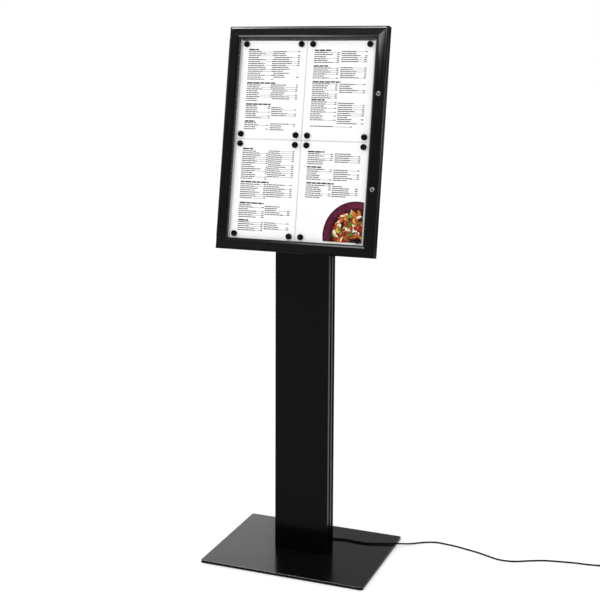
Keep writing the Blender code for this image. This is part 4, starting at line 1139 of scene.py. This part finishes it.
def makePicture(look):
    chance = random.Random(look["seed"])
    names = ["printPlum", *look["colours"]]
    wine = names.index("printWine")
    mesh = bmesh.new()
    level = printLook["above"] + printLook["film"]
    cx, cy = look["centre"]
    for radius, ink in look["rings"]:
        addShape(mesh, (cx, cy), 0, (radius, radius), 128, level, names.index(ink))
        level += look["step"] * 4
    field = look["rings"][-1][0]
    inks = list(look["colours"])
    weights = list(look["colours"].values())
    for i in range(look["count"]):
        far = field * math.sqrt(chance.random()) * 0.97
        angle = chance.uniform(*look["arc"])
        at = (cx + far * math.cos(angle), cy - far * math.sin(angle))
        if far < 8 or chance.random() < 0.45:
            right, foot = chance.uniform(-field * 0.7, 24), chance.uniform(-field * 0.7, 20)
            at = (cx + right, cy + foot)
        if math.dist(at, (cx, cy)) > field * 0.95:
            continue
        long = chance.uniform(*look["sizes"])
        wide = long * chance.choice(look["widths"])
        sides = chance.choice(look["sides"])
        turn = chance.uniform(0, math.tau)
        ink = names.index(chance.choices(inks, weights)[0])
        rim = (long * look["outline"][0], wide * look["outline"][1])
        addShape(mesh, at, turn, rim, sides, level, wine)
        addShape(mesh, at, turn, (long, wide), sides, level + look["step"], ink)
        level += look["step"] * 2
    left, top = sheetCorner(1, -1, printLook)
    right, foot = look["edges"]
    for place, away in (
        ((left + right / 1000, 0, 0), Vector((1, 0, 0))),
        ((0, top - foot / 1000, 0), -boardUp),
    ):
        bmesh.ops.bisect_plane(
            mesh, geom=mesh.verts[:] + mesh.edges[:] + mesh.faces[:],
            plane_co=boardMatrix @ Vector(place), plane_no=away, clear_outer=True,
        )
    return addPiece("menu_picture", mesh, names, "stand")


makePicture(pictureLook)
print("picture made")

# Stage and light. Cards glow and flags are black, and only reflections see them.
stageLook = {"colour": (0.80, 0.80, 0.80, 1), "lift": 0.20, "size": (30, 30)}
lightLook = {
    "world": 1.06,
    "flagColour": (0.002, 0.002, 0.002, 1),
    "lamps": {  # place, aim, size and power
        "left": ((-2.6, -2.4, 2.9), (0, 0, 0.9), (1.8, 1.8), 30),
        "right": ((3.4, 0.2, 2.2), (0, 0, 0.9), (0.8, 2.4), 13),
    },
    "cards": {  # place, aim, size and glow
        "topEdge": ((-0.42, -1.0, 3.1), (0, 0, 1.6), (0.9, 0.6), 40),
        "lowerBevel": ((-0.6, -1.45, 3.1), (0, 0, 1), (0.3, 0.22), 4),
        "upperBevel": ((-0.42, -0.95, 1.0), (0, 0, 1.6), (0.7, 0.2), 4),
        "stile": ((-0.7, -2.6, 3.0), (0.1, 0, 1.5), (1.2, 0.7), 2.4),
        "plate": ((-0.85, 1.2, 0.62), (-0.2, 0, 0), (0.55, 0.7), 3.0),
        "rim": ((-1.25, -1.85, 3.1), (0, -0.2, 0), (1.5, 0.5), 30),
        "rimSide": ((2.1, 3.7, 1.15), (0.26, 0, 0), (1.6, 0.5), 12),
    },
    "flags": {  # place, aim and size
        "flagSide": ((1.05, 2.1, 1.2), (0.25, 0, 1.3), (1.0, 1.3)),
        "flagOver": ((-0.75, 1.3, 3.1), (0, 0, 1.6), (2.4, 3.0)),
    },
}


def backgroundMask(tree):  # 1 for what the camera, gloss and glass see
    path = addNode(tree, "LightPath")
    first = addNode(tree, "Math", {"operation": "MAXIMUM"})
    second = addNode(tree, "Math", {"operation": "MAXIMUM"})
    wire(path, "Is Camera Ray", first, 0)
    wire(path, "Is Glossy Ray", first, 1)
    wire(first, 0, second, 0)
    wire(path, "Is Transmission Ray", second, 1)
    return second.outputs[0]


def addFlat(name, size, material):  # a flat rectangle
    mesh = bmesh.new()
    shape = Matrix.Diagonal((*size, 1, 1))
    bmesh.ops.create_grid(mesh, x_segments=1, y_segments=1, size=0.5, matrix=shape)
    return placeMesh(name, mesh, [material])


def makeFloor(look):
    material, tree, shader = startMaterial("paleFloor")
    setInputs(shader, {"Base Color": look["colour"], "Emission Color": (1, 1, 1, 1)})
    setInputs(shader, {"Roughness": 0.9, "Specular IOR Level": 0.1})
    lift = addNode(tree, "Math", {"operation": "MULTIPLY"}, {1: look["lift"]})
    tree.links.new(backgroundMask(tree), lift.inputs[0])
    wire(lift, 0, shader, "Emission Strength")
    floor = addFlat("floor", look["size"], material)


def makeWorld(look):
    world = bpy.data.worlds.new("studio")
    bpy.context.scene.world = world
    world.use_nodes = True
    tree = world.node_tree
    background = tree.nodes["Background"]
    background.inputs["Color"].default_value = (1, 1, 1, 1)
    strength = addNode(tree, "MapRange", values={"To Min": look["world"], "To Max": 1.0})
    tree.links.new(backgroundMask(tree), strength.inputs["Value"])
    wire(strength, "Result", background, "Strength")


def aimObject(thing, place, aim, front):  # front is the axis that faces the aim
    thing.location = place
    way = Vector(aim) - Vector(place)
    thing.rotation_euler = way.to_track_quat(front, "Y").to_euler()


def addArea(name, place, aim, size, energy):
    data = bpy.data.lights.new(name, "AREA")
    data.shape = "RECTANGLE"
    data.size, data.size_y = size
    data.energy = energy
    light = placeObject(name, data)
    aimObject(light, place, aim, "-Z")
    return light


def hideFromLight(thing):
    thing.visible_camera = False
    thing.visible_diffuse = False
    thing.visible_transmission = False


def makeLamps(look):
    for name, lamp in look["lamps"].items():
        addArea("lamp_" + name, *lamp)


def makeCards(look):
    for name, (place, aim, size, glow) in look["cards"].items():
        energy = glow * math.pi * size[0] * size[1]
        hideFromLight(addArea("card_" + name, place, aim, size, energy))
    material, _, shader = startMaterial("flagBlack")
    setInputs(shader, {"Base Color": look["flagColour"], "Specular IOR Level": 0})
    for name, (place, aim, size) in look["flags"].items():
        card = addFlat(name, size, material)
        aimObject(card, place, aim, "Z")
        hideFromLight(card)
        card.visible_shadow = False


makeFloor(stageLook)
makeWorld(lightLook)
makeLamps(lightLook)
makeCards(lightLook)
bpy.context.scene.view_settings.view_transform = "Standard"
print("stage made")
